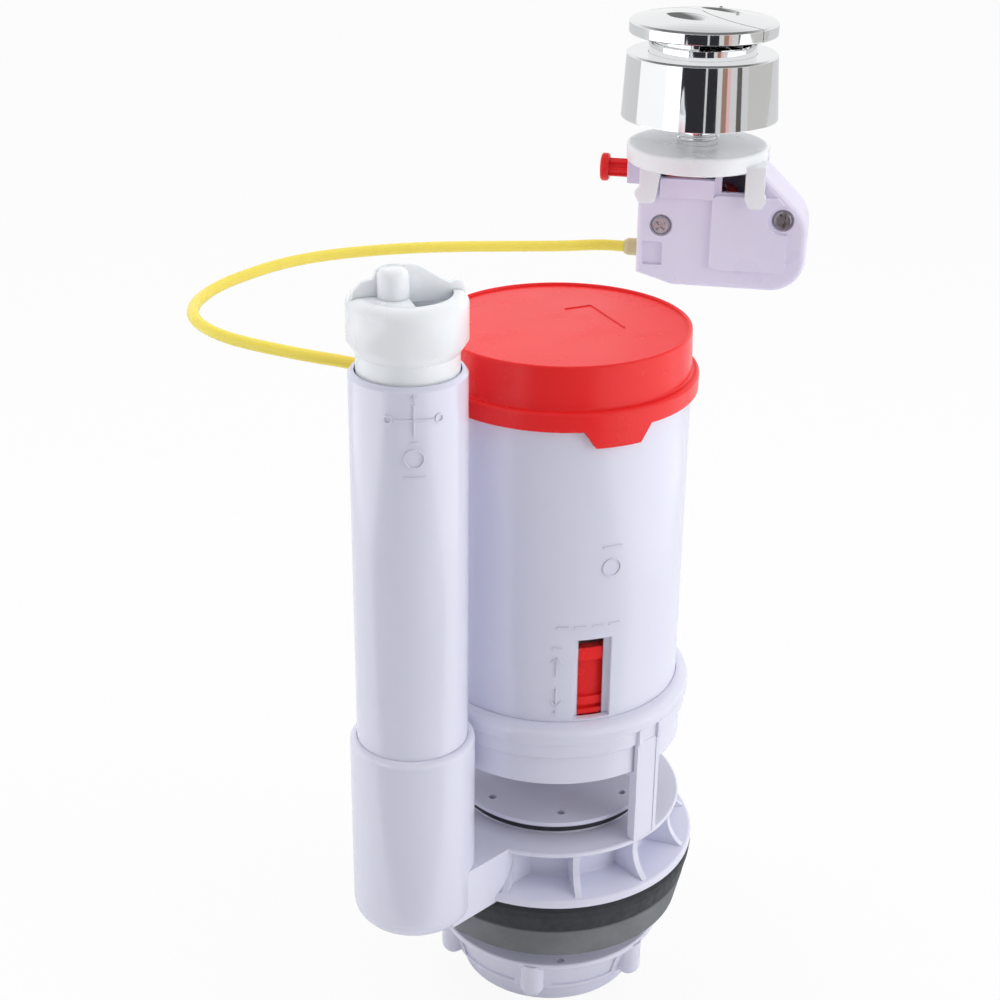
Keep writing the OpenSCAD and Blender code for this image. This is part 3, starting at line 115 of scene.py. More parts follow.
# Soft lights: name, place, width and height in metres
LIGHT_TARGET = (0.0, 0.03, 0.15)
SOFT_LIGHTS = (
    ("left", (-0.95, 0.0, 0.45), 0.5, 0.95),
    ("right", (0.95, -0.4, 0.45), 0.7, 1.0),
    ("top", (0.0, 0.2, 1.1), 0.9, 0.7),
)

# Shares of the room's light before and behind the object, and of its brightness overhead in reflections
FRONT_SHARE = 0.36
BACK_SHARE = 1.1
OVERHEAD_SHARE = 0.2

# Boards that only reflections see: name, two corners in metres, brightness
DARK = (0.03, 0.03, 0.036)
BRIGHT = (1.8, 1.8, 1.85)
FLOOR_Z = 0.5 * MM
FRONT_Y = -0.9
SIDE_X = 1.6
FRONT_TOP = 0.42
SIDE_TOP = 0.5
MIRROR_CARDS = (
    ("front_floor", (-0.42, FRONT_Y, FLOOR_Z), (0.30, -0.13, FLOOR_Z), DARK),
    ("left_floor", (-SIDE_X, FRONT_Y, FLOOR_Z), (-0.44, 0.3, FLOOR_Z), BRIGHT),
    ("right_floor", (0.34, FRONT_Y, FLOOR_Z), (SIDE_X, 0.3, FLOOR_Z), (1.4, 1.4, 1.42)),
    ("left_window", (-SIDE_X, FRONT_Y, 0.0), (-0.67, FRONT_Y, SIDE_TOP), BRIGHT),
    ("left_wall", (-SIDE_X, FRONT_Y, 0.0), (-SIDE_X, 0.7, SIDE_TOP), (1.1, 1.1, 1.1)),
    ("front_dark", (-0.65, FRONT_Y, 0.0), (0.06, FRONT_Y, FRONT_TOP), DARK),
    ("front_dark_right", (0.11, FRONT_Y, 0.0), (0.38, FRONT_Y, FRONT_TOP), DARK),
    ("front_brown", (0.53, FRONT_Y, 0.0), (0.71, FRONT_Y, FRONT_TOP), (0.36, 0.22, 0.17)),
    ("front_pink", (0.71, FRONT_Y, 0.0), (0.85, FRONT_Y, FRONT_TOP), (0.8, 0.5, 0.5)),
    ("front_grey", (1.2, FRONT_Y, 0.0), (SIDE_X, FRONT_Y, FRONT_TOP), (0.13, 0.12, 0.11)),
    ("right_wall", (SIDE_X, -0.5, 0.0), (SIDE_X, 1.4, SIDE_TOP), (0.6, 0.59, 0.57)),
)


class FlushFinish(bpy.types.PropertyGroup):
    """Colours of the valve's materials"""

    white_abs: FloatVectorProperty(
        name="White ABS", description="Body mouldings", subtype="COLOR", size=3, default=(0.76, 0.765, 0.90))
    box_abs: FloatVectorProperty(
        name="Box ABS", description="Button box halves", subtype="COLOR", size=3, default=(0.80, 0.755, 0.92))
    red_abs: FloatVectorProperty(
        name="Red ABS", description="Cap, slider, lock pin and lever", subtype="COLOR", size=3,
        default=(0.90, 0.022, 0.024))
    clear_pp: FloatVectorProperty(
        name="Natural plastic", description="Milky overflow cap, bracket and gland", subtype="COLOR", size=3,
        default=(0.90, 0.93, 0.985))
    ivory_pom: FloatVectorProperty(
        name="Ivory plastic", description="Float and crank inside the tower", subtype="COLOR", size=3,
        default=(0.84, 0.80, 0.70))
    ferrule_pp: FloatVectorProperty(
        name="Ferrule plastic", description="Pale end piece of the cable", subtype="COLOR", size=3,
        default=(0.78, 0.68, 0.38))
    black_rubber: FloatVectorProperty(
        name="Black rubber", description="Upper washer and seals", subtype="COLOR", size=3,
        default=(0.018, 0.022, 0.028))
    grey_rubber: FloatVectorProperty(
        name="Grey rubber", description="Lower washer", subtype="COLOR", size=3, default=(0.15, 0.158, 0.17))
    chrome: FloatVectorProperty(
        name="Chrome", description="Flush keys, skirt and stem", subtype="COLOR", size=3,
        default=(0.86, 0.87, 0.88))
    steel: FloatVectorProperty(
        name="Steel", description="Screws, pins, springs and wire", subtype="COLOR", size=3,
        default=(0.55, 0.54, 0.53))
    yellow_sheath: FloatVectorProperty(
        name="Yellow sheath", description="Outer sheath of the cable", subtype="COLOR", size=3,
        default=(0.98, 0.82, 0.13))


class FlushDetail(bpy.types.PropertyGroup):
    """Sizes of the small parts that are added to the frame"""

    cable_d: FloatProperty(
        name="Cable diameter", description="Outer diameter of the sheath", default=4.0 * MM, unit="LENGTH")
    cable_l: FloatProperty(
        name="Cable length", description="Free length of the sheath", default=0.28, unit="LENGTH")
    tail_pitch: FloatProperty(
        name="Tail pitch", description="Pitch of the outlet's thread", default=2.31 * MM, unit="LENGTH")
    stem_pitch: FloatProperty(
        name="Stem pitch", description="Pitch of the button stem's thread", default=1.5 * MM, unit="LENGTH")
    spring_turns: IntProperty(
        name="Key spring turns", description="Turns of a flush key's spring", default=7)


class FlushStudio(bpy.types.PropertyGroup):
    """Camera and light"""

    lens: FloatProperty(
        name="Lens", description="Focal length", default=65.64, unit="CAMERA")
    elevation: FloatProperty(
        name="Elevation", description="Camera's angle above the horizon", subtype="ANGLE",
        default=math.radians(24.648))
    roll: FloatProperty(
        name="Roll", description="Camera's turn about its own axis", subtype="ANGLE",
        default=math.radians(0.591))
    place: FloatVectorProperty(
        name="Camera place", description="Where the camera stands", subtype="TRANSLATION", size=3,
        default=(-0.018295, -0.517532, 0.408238))
    left_power: FloatProperty(
        name="Left light", description="Power of the soft light on the left", default=1.6, unit="POWER")
    right_power: FloatProperty(
        name="Right light", description="Power of the soft light on the right", default=4.3, unit="POWER")
    top_power: FloatProperty(
        name="Top light", description="Power of the soft top light", default=1.7, unit="POWER")
    room_level: FloatProperty(
        name="Room level", description="Strength of the light from all round", default=0.92)
    mirror_level: FloatProperty(
        name="Mirror level", description="Brightness of the room in reflections", default=0.95)


# Material building blocks

def new_finish(name):
    """A node material with its Principled shader and Object coordinates."""
    material = bpy.data.materials.new(name + FINISH)
    material.use_nodes = True
    tree = material.node_tree
    coords = tree.nodes.new("ShaderNodeTexCoord")
    return tree, tree.nodes["Principled BSDF"], coords.outputs["Object"]


def cloud(tree, vector, scale, detail=2.0, stretch=None):
    """Soft noise; stretch squeezes it along the axes."""
    noise = tree.nodes.new("ShaderNodeTexNoise")
    noise.inputs["Scale"].default_value = scale
    noise.inputs["Detail"].default_value = detail
    if stretch:
        mapping = tree.nodes.new("ShaderNodeMapping")
        mapping.inputs["Scale"].default_value = stretch
        tree.links.new(vector, mapping.inputs["Vector"])
        vector = mapping.outputs["Vector"]
    tree.links.new(vector, noise.inputs["Vector"])
    return noise.outputs["Fac"]


def spread(tree, factor, low, high, from_low=0.3, from_high=0.7):
    """Maps noise onto a range of values."""
    node = tree.nodes.new("ShaderNodeMapRange")
    node.inputs["From Min"].default_value = from_low
    node.inputs["From Max"].default_value = from_high
    node.inputs["To Min"].default_value = low
    node.inputs["To Max"].default_value = high
    tree.links.new(factor, node.inputs["Value"])
    return node.outputs["Result"]


def blend_colours(tree, factor, first, second):
    """Mixes two colours by noise."""
    node = tree.nodes.new("ShaderNodeMix")
    node.data_type = "RGBA"
    for name, colour in (("A", first), ("B", second)):
        socket = next(s for s in node.inputs if s.name == name and s.type == "RGBA")
        socket.default_value = (*colour, 1.0)
    tree.links.new(factor, node.inputs["Factor"])
    return next(s for s in node.outputs if s.type == "RGBA")


def relief(tree, shader, height, distance, edge_r=0.3 * MM):
    """Bumps the surface by up to a distance and softens the light on its edges."""
    rounded = tree.nodes.new("ShaderNodeBevel")
    rounded.samples = 6
    rounded.inputs["Radius"].default_value = edge_r
    bump = tree.nodes.new("ShaderNodeBump")
    bump.inputs["Distance"].default_value = distance
    tree.links.new(rounded.outputs["Normal"], bump.inputs["Normal"])
    tree.links.new(height, bump.inputs["Height"])
    tree.links.new(bump.outputs["Normal"], shader.inputs["Normal"])


def shade(colour, factor):
    return tuple(channel * factor for channel in colour)


def moulded_plastic(name, colour, rough, milky=0.0, glow=0.12, depth=1.2 * MM, sheen=0.5):
    """Injection-moulded plastic: a faint flow pattern, uneven gloss and a fine skin."""
    tree, shader, where = new_finish(name)
    flow = spread(tree, cloud(tree, where, 26.0, detail=4.0, stretch=(1.0, 1.0, 0.35)), 0.0, 1.0)
    colours = blend_colours(tree, flow, shade(colour, 0.97), shade(colour, 1.02))
    tree.links.new(colours, shader.inputs["Base Color"])
    gloss = cloud(tree, where, 75.0, detail=3.0)
    tree.links.new(spread(tree, gloss, rough * 0.85, rough * 1.25), shader.inputs["Roughness"])
    relief(tree, shader, cloud(tree, where, 900.0), 0.012 * MM)
    shader.inputs["IOR"].default_value = 1.5
    shader.inputs["Specular IOR Level"].default_value = sheen
    shader.inputs["Subsurface Weight"].default_value = glow
    shader.inputs["Subsurface Radius"].default_value = (1.0, 0.8, 0.9)
    shader.inputs["Subsurface Scale"].default_value = depth
    shader.inputs["Transmission Weight"].default_value = milky


def chrome_plate(name, colour):
    """Mirror plate with the faint waviness and haze of plated plastic."""
    tree, shader, where = new_finish(name)
    haze = cloud(tree, where, 140.0, detail=3.0)
    tree.links.new(spread(tree, haze, 0.025, 0.075), shader.inputs["Roughness"])
    tone = blend_colours(tree, spread(tree, cloud(tree, where, 35.0), 0.0, 1.0), shade(colour, 0.97), colour)
    tree.links.new(tone, shader.inputs["Base Color"])
    relief(tree, shader, cloud(tree, where, 60.0, detail=1.0), 0.02 * MM)
    shader.inputs["Metallic"].default_value = 1.0


def plain_steel(name, colour):
    """Drawn or pressed steel with fine streaks."""
    tree, shader, where = new_finish(name)
    streaks = cloud(tree, where, 900.0, detail=3.0, stretch=(1.0, 1.0, 0.12))
    tree.links.new(spread(tree, streaks, 0.22, 0.42), shader.inputs["Roughness"])
    tone = blend_colours(tree, spread(tree, cloud(tree, where, 220.0), 0.0, 1.0), shade(colour, 0.85), colour)
    tree.links.new(tone, shader.inputs["Base Color"])
    relief(tree, shader, streaks, 0.008 * MM, edge_r=0.08 * MM)
    shader.inputs["Metallic"].default_value = 1.0


def washer_rubber(name, colour, rough, grain):
    """Matt rubber with a fine grain and a pale bloom."""
    tree, shader, where = new_finish(name)
    bloom = spread(tree, cloud(tree, where, 55.0, detail=5.0), 0.0, 1.0, from_low=0.42, from_high=0.72)
    tree.links.new(blend_colours(tree, bloom, colour, shade(colour, 1.35)), shader.inputs["Base Color"])
    gloss = spread(tree, cloud(tree, where, 400.0), rough - 0.08, rough + 0.1)
    tree.links.new(gloss, shader.inputs["Roughness"])
    relief(tree, shader, cloud(tree, where, grain, detail=4.0), 0.05 * MM)


def make_finishes(colours):
    """One material for each slot of the record."""
    moulded_plastic("white_abs", colours.white_abs, 0.15, sheen=0.8)
    moulded_plastic("box_abs", colours.box_abs, 0.30)
    moulded_plastic("red_abs", colours.red_abs, 0.24, glow=0.05, sheen=0.3)
    moulded_plastic("clear_pp", colours.clear_pp, 0.24, glow=0.4, depth=2.5 * MM)
    moulded_plastic("ivory_pom", colours.ivory_pom, 0.32)
    moulded_plastic("ferrule_pp", colours.ferrule_pp, 0.28, milky=0.15, glow=0.3)
    washer_rubber("black_rubber", colours.black_rubber, 0.55, 1300.0)
    washer_rubber("grey_rubber", colours.grey_rubber, 0.70, 1800.0)
    chrome_plate("chrome", colours.chrome)
    plain_steel("steel", colours.steel)
    moulded_plastic("yellow_sheath", colours.yellow_sheath, 0.28, glow=0.1, sheen=0.3)


def finish_of(slot):
    return bpy.data.materials[slot + FINISH]


# Mesh helpers

def add_piece(name, bm, body, slot):
    """Turns a bmesh into a piece with its finish, riding on a body."""
    bmesh.ops.remove_doubles(bm, verts=bm.verts, dist=MERGE_DIST)
    bmesh.ops.recalc_face_normals(bm, faces=bm.faces)
    mesh = bpy.data.meshes.new(name)
    bm.to_mesh(mesh)
    bm.free()
    mesh.shade_smooth()
    mesh.set_sharp_from_angle(angle=SMOOTH_ANGLE)
    mesh.materials.append(finish_of(slot))
    piece = bpy.data.objects.new(name, mesh)
    bpy.context.scene.collection.objects.link(piece)
    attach(piece, body)
    return piece


def edges_in(geometry):
    return [item for item in geometry if isinstance(item, bmesh.types.BMEdge)]


def closed_outline(bm, points):
    """New points joined by a closed loop of edges."""
    verts = [bm.verts.new(point) for point in points]
    edges = [bm.edges.new((verts[i - 1], verts[i])) for i in range(len(verts))]
    return verts, edges


def spin_round(bm, edges, centre, steps):
    """A full turn about an upright axis."""
    bmesh.ops.spin(
        bm, geom=edges, cent=centre, axis=UP, angle=2 * math.pi, steps=steps, use_merge=True,
        use_duplicate=False)


def round_edges(bm, edges, offset, segments):
    bmesh.ops.bevel(
        bm, geom=edges, offset=offset, segments=segments, profile=0.5, affect="EDGES", material=-1)


def screw_sweep(bm, section, axis, pitch, turns, steps):
    """Spins a closed section about an upright axis while it climbs, and caps both ends."""
    verts, edges = closed_outline(bm, section)
    bm.faces.new(verts)
    bm.normal_update()
    made = bmesh.ops.spin(
        bm, geom=edges, cent=axis, axis=UP, dvec=UP * (pitch / steps), angle=2 * math.pi * turns,
        steps=round(turns * steps), use_merge=False, use_duplicate=False)
    bmesh.ops.contextual_create(bm, geom=edges_in(made["geom_last"]))


def thread_section(axis, root_r, crest_r, z, pitch):
    """Trapezoid of one thread ridge, upright on the axis' +X side."""
    half = 0.42 * pitch
    tip = 0.08 * pitch
    corners = ((root_r, -half), (crest_r, -tip), (crest_r, tip), (root_r, half))
    return [Vector((axis.x + r, axis.y, z + rise)) for r, rise in corners]


def flat_bar(bm, middle, length, width, turn=0.0):
    """A raised bar lying flat, in millimetres and degrees, ready to be bent round a wall."""
    for vert in bm.verts:
        vert.tag = True
    made = bmesh.ops.create_cube(bm, size=1.0)
    long_edges = [
        edge for edge in {edge for vert in made["verts"] for edge in vert.link_edges}
        if abs(edge.verts[0].co.x - edge.verts[1].co.x) > 0.5]
    bmesh.ops.subdivide_edges(bm, edges=long_edges, cuts=5)
    verts = [vert for vert in bm.verts if not vert.tag]
    place = Matrix.Translation((middle[0] * MM, middle[1] * MM, (MARK_OUT - MARK_IN) / 2))
    size = Matrix.Diagonal((length * MM, width * MM, MARK_OUT + MARK_IN, 1.0))
    bmesh.ops.transform(
        bm, matrix=place @ Matrix.Rotation(math.radians(turn), 4, "Z") @ size, verts=verts)


def flat_ring(bm, middle, r, width):
    """A raised ring lying flat, in millimetres."""
    centre = Vector((middle[0], middle[1], 0)) * MM
    inner = centre + Vector((r - width / 2, 0, 0)) * MM
    outer = centre + Vector((r + width / 2, 0, 0)) * MM
    up = UP * MARK_OUT
    down = UP * MARK_IN
    edges = closed_outline(bm, (inner - down, outer - down, outer + up, inner + up))[1]
    spin_round(bm, edges, centre, 36)


def draw_plus(bm, middle, size, width):
    flat_bar(bm, middle, size, width)
    flat_bar(bm, middle, size, width, 90)


def draw_arrow(bm, middle, way):
    """An upright arrow that points up, or down where way is -1."""
    flat_bar(bm, (0, middle), 6.4, LINE, 90)
    for side in (-1, 1):
        flat_bar(bm, (0.8 * side, middle + 2.3 * way), 2.4, FINE_LINE, -45 * way * side)


def draw_cross(bm):
    """A cross between two small rings, with a large ring and a dash under it."""
    flat_bar(bm, (0, 0), 9.2, LINE, 90)
    flat_bar(bm, (0, 0), 10.4, LINE)
    draw_plus(bm, (0, 6.6), 1.9, FINE_LINE)
    flat_bar(bm, (0, -6.6), 2.2, FINE_LINE)
    for side in (-7.2, 7.2):
        flat_ring(bm, (side, 0), 1.1, FINE_LINE)
    flat_ring(bm, (0, -11.4), 2.7, LINE)
    flat_bar(bm, (0, -17.0), 6.0, LINE)


def draw_ring(bm):
    """A ring under a dash."""
    flat_ring(bm, (0, 0), 2.8, LINE)
    flat_bar(bm, (0, 6.8), 6.0, BROAD_LINE)


def draw_scale(bm):
    """A dash, two arrows that point apart, and a plus."""
    flat_bar(bm, (0, 12.0), 2.6, LINE)
    draw_arrow(bm, 5.6, 1)
    draw_arrow(bm, -5.0, -1)
    draw_plus(bm, (0, -10.4), 2.2, LINE)


def draw_dashes(bm):
    """A row of four dashes."""
    for along in (-8.0, -2.8, 2.8, 8.0):
        flat_bar(bm, (along, 0), 3.6, BROAD_LINE)


def surface_of(node):
    """A node's mesh, ready for ray casts."""
    mesh = frame["nodes"][node].data
    return BVHTree.FromPolygons([v.co for v in mesh.vertices], [p.vertices for p in mesh.polygons])


def wall_radius(node, axis, azimuth, z):
    """Distance from an upright axis to a node's outer wall."""
    far = 0.2
    middle = Vector((axis.x, axis.y, z))
    out = Vector((math.cos(azimuth), math.sin(azimuth), 0))
    hit = surface_of(node).ray_cast(middle + out * far, -out)[0]
    return (hit - middle).length


def key_under(x, y):
    """The flush key that lies under a point, and the place on its top."""
    above = Vector((x, y, CAD_BOX[1][2] + 0.1))
    tops = {key: surface_of(key).ray_cast(above, -UP)[0] for key in KEYS}
    key = max((key for key in KEYS if tops[key] is not None), key=lambda name: tops[name].z)
    return key, tops[key]


def bend_round(bm, axis, wall_r, azimuth, z):
    """Bends flat marks, drawn with their middle at the origin, round an upright wall."""
    for vert in bm.verts:
        along, up, out = vert.co
        angle = azimuth + along / wall_r
        reach = wall_r + out
        vert.co = (axis.x + reach * math.cos(angle), axis.y + reach * math.sin(angle), z + up)


def join_into(bm, other):
    """Moves the geometry of another bmesh into this one."""
    mesh = bpy.data.meshes.new("joined")
    other.to_mesh(mesh)
    other.free()
    bm.from_mesh(mesh)
    bpy.data.meshes.remove(mesh)


def middle_of(node):
    low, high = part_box(node)
    return (low + high) / 2


# Stage helpers

def soft_light(name, place, width, height, power):
    """A broad lamp that looks at the object and doesn't show in reflections."""
    matrix = (Vector(LIGHT_TARGET) - Vector(place)).to_track_quat("-Z", "Y").to_matrix().to_4x4()
    matrix.translation = Vector(place)
    lamp = bpy.data.lights.new(name, "AREA")
    lamp.shape = "RECTANGLE"
    lamp.size = width
    lamp.size_y = height
    lamp.energy = power
    holder = bpy.data.objects.new(name, lamp)
    holder.matrix_world = matrix
    holder.visible_glossy = False
    bpy.context.scene.collection.objects.link(holder)


def stage_plane(name, width, height, matrix):
    """A flat sheet that isn't part of the object."""
    bm = bmesh.new()
    bmesh.ops.create_grid(bm, x_segments=1, y_segments=1, size=0.5)
    bmesh.ops.scale(bm, vec=(width, height, 1), verts=bm.verts)
    bmesh.ops.transform(bm, matrix=matrix, verts=bm.verts)
    mesh = bpy.data.meshes.new(name)
    bm.to_mesh(mesh)
    bm.free()
    plane = bpy.data.objects.new(name, mesh)
    bpy.context.scene.collection.objects.link(plane)
    return plane


def mirror_card(name, low, high, tone):
    """A sheet between two corners that only reflections see, as the boards and windows of a studio."""
    across = high - low
    turn = Matrix.Identity(4)
    width, height = across.x, across.y
    if across.y == 0:
        turn = Matrix.Rotation(math.radians(90), 4, "X")
        height = across.z
    elif across.x == 0:
        turn = Matrix.Rotation(math.radians(90), 4, "Y")
        width = across.z
    card = stage_plane(name, width, height, Matrix.Translation((low + high) / 2) @ turn)
    material = bpy.data.materials.new(name)
    material.use_nodes = True
    tree = material.node_tree
    light = tree.nodes.new("ShaderNodeEmission")
    light.inputs["Color"].default_value = (*tone, 1.0)
    tree.links.new(light.outputs[0], tree.nodes["Material Output"].inputs["Surface"])
    card.data.materials.append(material)
    card.visible_camera = False
    card.visible_diffuse = False
    card.visible_shadow = False
    card.visible_transmission = False


def seen_directly(tree):
    """Sockets that are 1 for rays from the camera or through clear plastic, and 1 for reflected rays."""
    path = tree.nodes.new("ShaderNodeLightPath")
    either = tree.nodes.new("ShaderNodeMath")
    either.operation = "MAXIMUM"
    tree.links.new(path.outputs["Is Camera Ray"], either.inputs[0])
    tree.links.new(path.outputs["Is Transmission Ray"], either.inputs[1])
    return either.outputs[0], path.outputs["Is Glossy Ray"]


def lay_floor():
    """A white floor that keeps part of the object's shadow."""
    floor = stage_plane("floor", 8.0, 8.0, Matrix.Translation((0, 0, -0.3 * MM)))
    material = bpy.data.materials.new("floor")
    material.use_nodes = True
    tree = material.node_tree
    shader = tree.nodes["Principled BSDF"]
    shader.inputs["Base Color"].default_value = (0.86, 0.86, 0.87, 1.0)
    shader.inputs["Roughness"].default_value = 0.8
    shader.inputs["Specular IOR Level"].default_value = 0.2
    white = tree.nodes.new("ShaderNodeEmission")
    white.inputs["Strength"].default_value = 1.0
    mix = tree.nodes.new("ShaderNodeMixShader")
    share = tree.nodes.new("ShaderNodeMath")
    share.operation = "MULTIPLY"
    share.inputs[1].default_value = 0.9
    tree.links.new(seen_directly(tree)[0], share.inputs[0])
    tree.links.new(share.outputs[0], mix.inputs[0])
    tree.links.new(shader.outputs[0], mix.inputs[1])
    tree.links.new(white.outputs[0], mix.inputs[2])
    tree.links.new(mix.outputs[0], tree.nodes["Material Output"].inputs["Surface"])
    floor.data.materials.append(material)


def light_room(level, mirror_level):
    """A white room that lights the object mostly from behind and mirrors as dark overhead."""
    world = bpy.data.worlds.new("room")
    world.use_nodes = True
    tree = world.node_tree
    background = tree.nodes["Background"]
    background.inputs["Color"].default_value = (1.0, 1.0, 1.0, 1.0)
    direction = tree.nodes.new("ShaderNodeTexCoord").outputs["Generated"]
    parts = tree.nodes.new("ShaderNodeSeparateXYZ")
    tree.links.new(direction, parts.inputs["Vector"])
    ambient = spread(
        tree, parts.outputs["Y"], FRONT_SHARE * level, BACK_SHARE * level, from_low=-0.9, from_high=0.3)
    mirrored = spread(
        tree, parts.outputs["Z"], mirror_level, OVERHEAD_SHARE * mirror_level, from_low=0.42, from_high=0.78)
    direct, glossy = seen_directly(tree)
    reflected = tree.nodes.new("ShaderNodeMapRange")
    tree.links.new(ambient, reflected.inputs["To Min"])
    tree.links.new(mirrored, reflected.inputs["To Max"])
    tree.links.new(glossy, reflected.inputs["Value"])
    strength = tree.nodes.new("ShaderNodeMapRange")
    strength.inputs["To Max"].default_value = 1.0
    tree.links.new(direct, strength.inputs["Value"])
    tree.links.new(reflected.outputs["Result"], strength.inputs["To Min"])
    tree.links.new(strength.outputs["Result"], background.inputs["Strength"])
    bpy.context.scene.world = world


def set_camera(studio):
    """A camera at the photograph's viewing angle."""
    camera = bpy.data.cameras.new("camera")
    camera.lens = studio.lens
    camera.sensor_width = 36.0
    camera.clip_start = 0.01
    up = Vector((0, math.sin(studio.elevation), math.cos(studio.elevation)))
    back = Vector((0, -math.cos(studio.elevation), math.sin(studio.elevation)))
    right = Vector((math.cos(studio.roll), 0, 0)) + math.sin(studio.roll) * up
    level_up = Vector((-math.sin(studio.roll), 0, 0)) + math.cos(studio.roll) * up
    matrix = Matrix((right, level_up, back)).transposed().to_4x4()
    matrix.translation = Vector(studio.place)
    holder = bpy.data.objects.new("camera", camera)
    holder.matrix_world = matrix
    bpy.context.scene.collection.objects.link(holder)
    bpy.context.scene.camera = holder


# Operators

class FLUSH_OT_finishes(bpy.types.Operator):
    """Give every part of the frame its material"""

    bl_idname = "flush.finishes"
    bl_label = "Finishes"

    def execute(self, context):
        make_finishes(context.scene.flush_finish)
        for name, node in frame["nodes"].items():
            node.data.materials.clear()
            node.data.materials.append(finish_of(SLOT_OF_NODE[name]))
        return {"FINISHED"}


class FLUSH_OT_cable(bpy.types.Operator):
    """Lay the yellow cable between the tower and the button box"""

    bl_idname = "flush.cable"
    bl_label = "Cable"

    def execute(self, context):
        detail = context.scene.flush_detail
        curve = bpy.data.curves.new("cable", "CURVE")
        curve.dimensions = "3D"
        curve.bevel_depth = detail.cable_d / 2
        curve.bevel_resolution = 6
        curve.resolution_u = 10
        curve.use_fill_caps = True
        spline = curve.splines.new("BEZIER")
        spline.bezier_points.add(len(CABLE_ROUTE) - 1)
        for knot, place in zip(spline.bezier_points, CABLE_ROUTE):
            knot.co = Vector(place) * MM
            knot.handle_left_type = "AUTO"
            knot.handle_right_type = "AUTO"
        curve.materials.append(finish_of("yellow_sheath"))
        cable = bpy.data.objects.new("cable", curve)
        context.scene.collection.objects.link(cable)
        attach(cable, ROOT)
        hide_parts("cable_sheath")
        return {"FINISHED"}


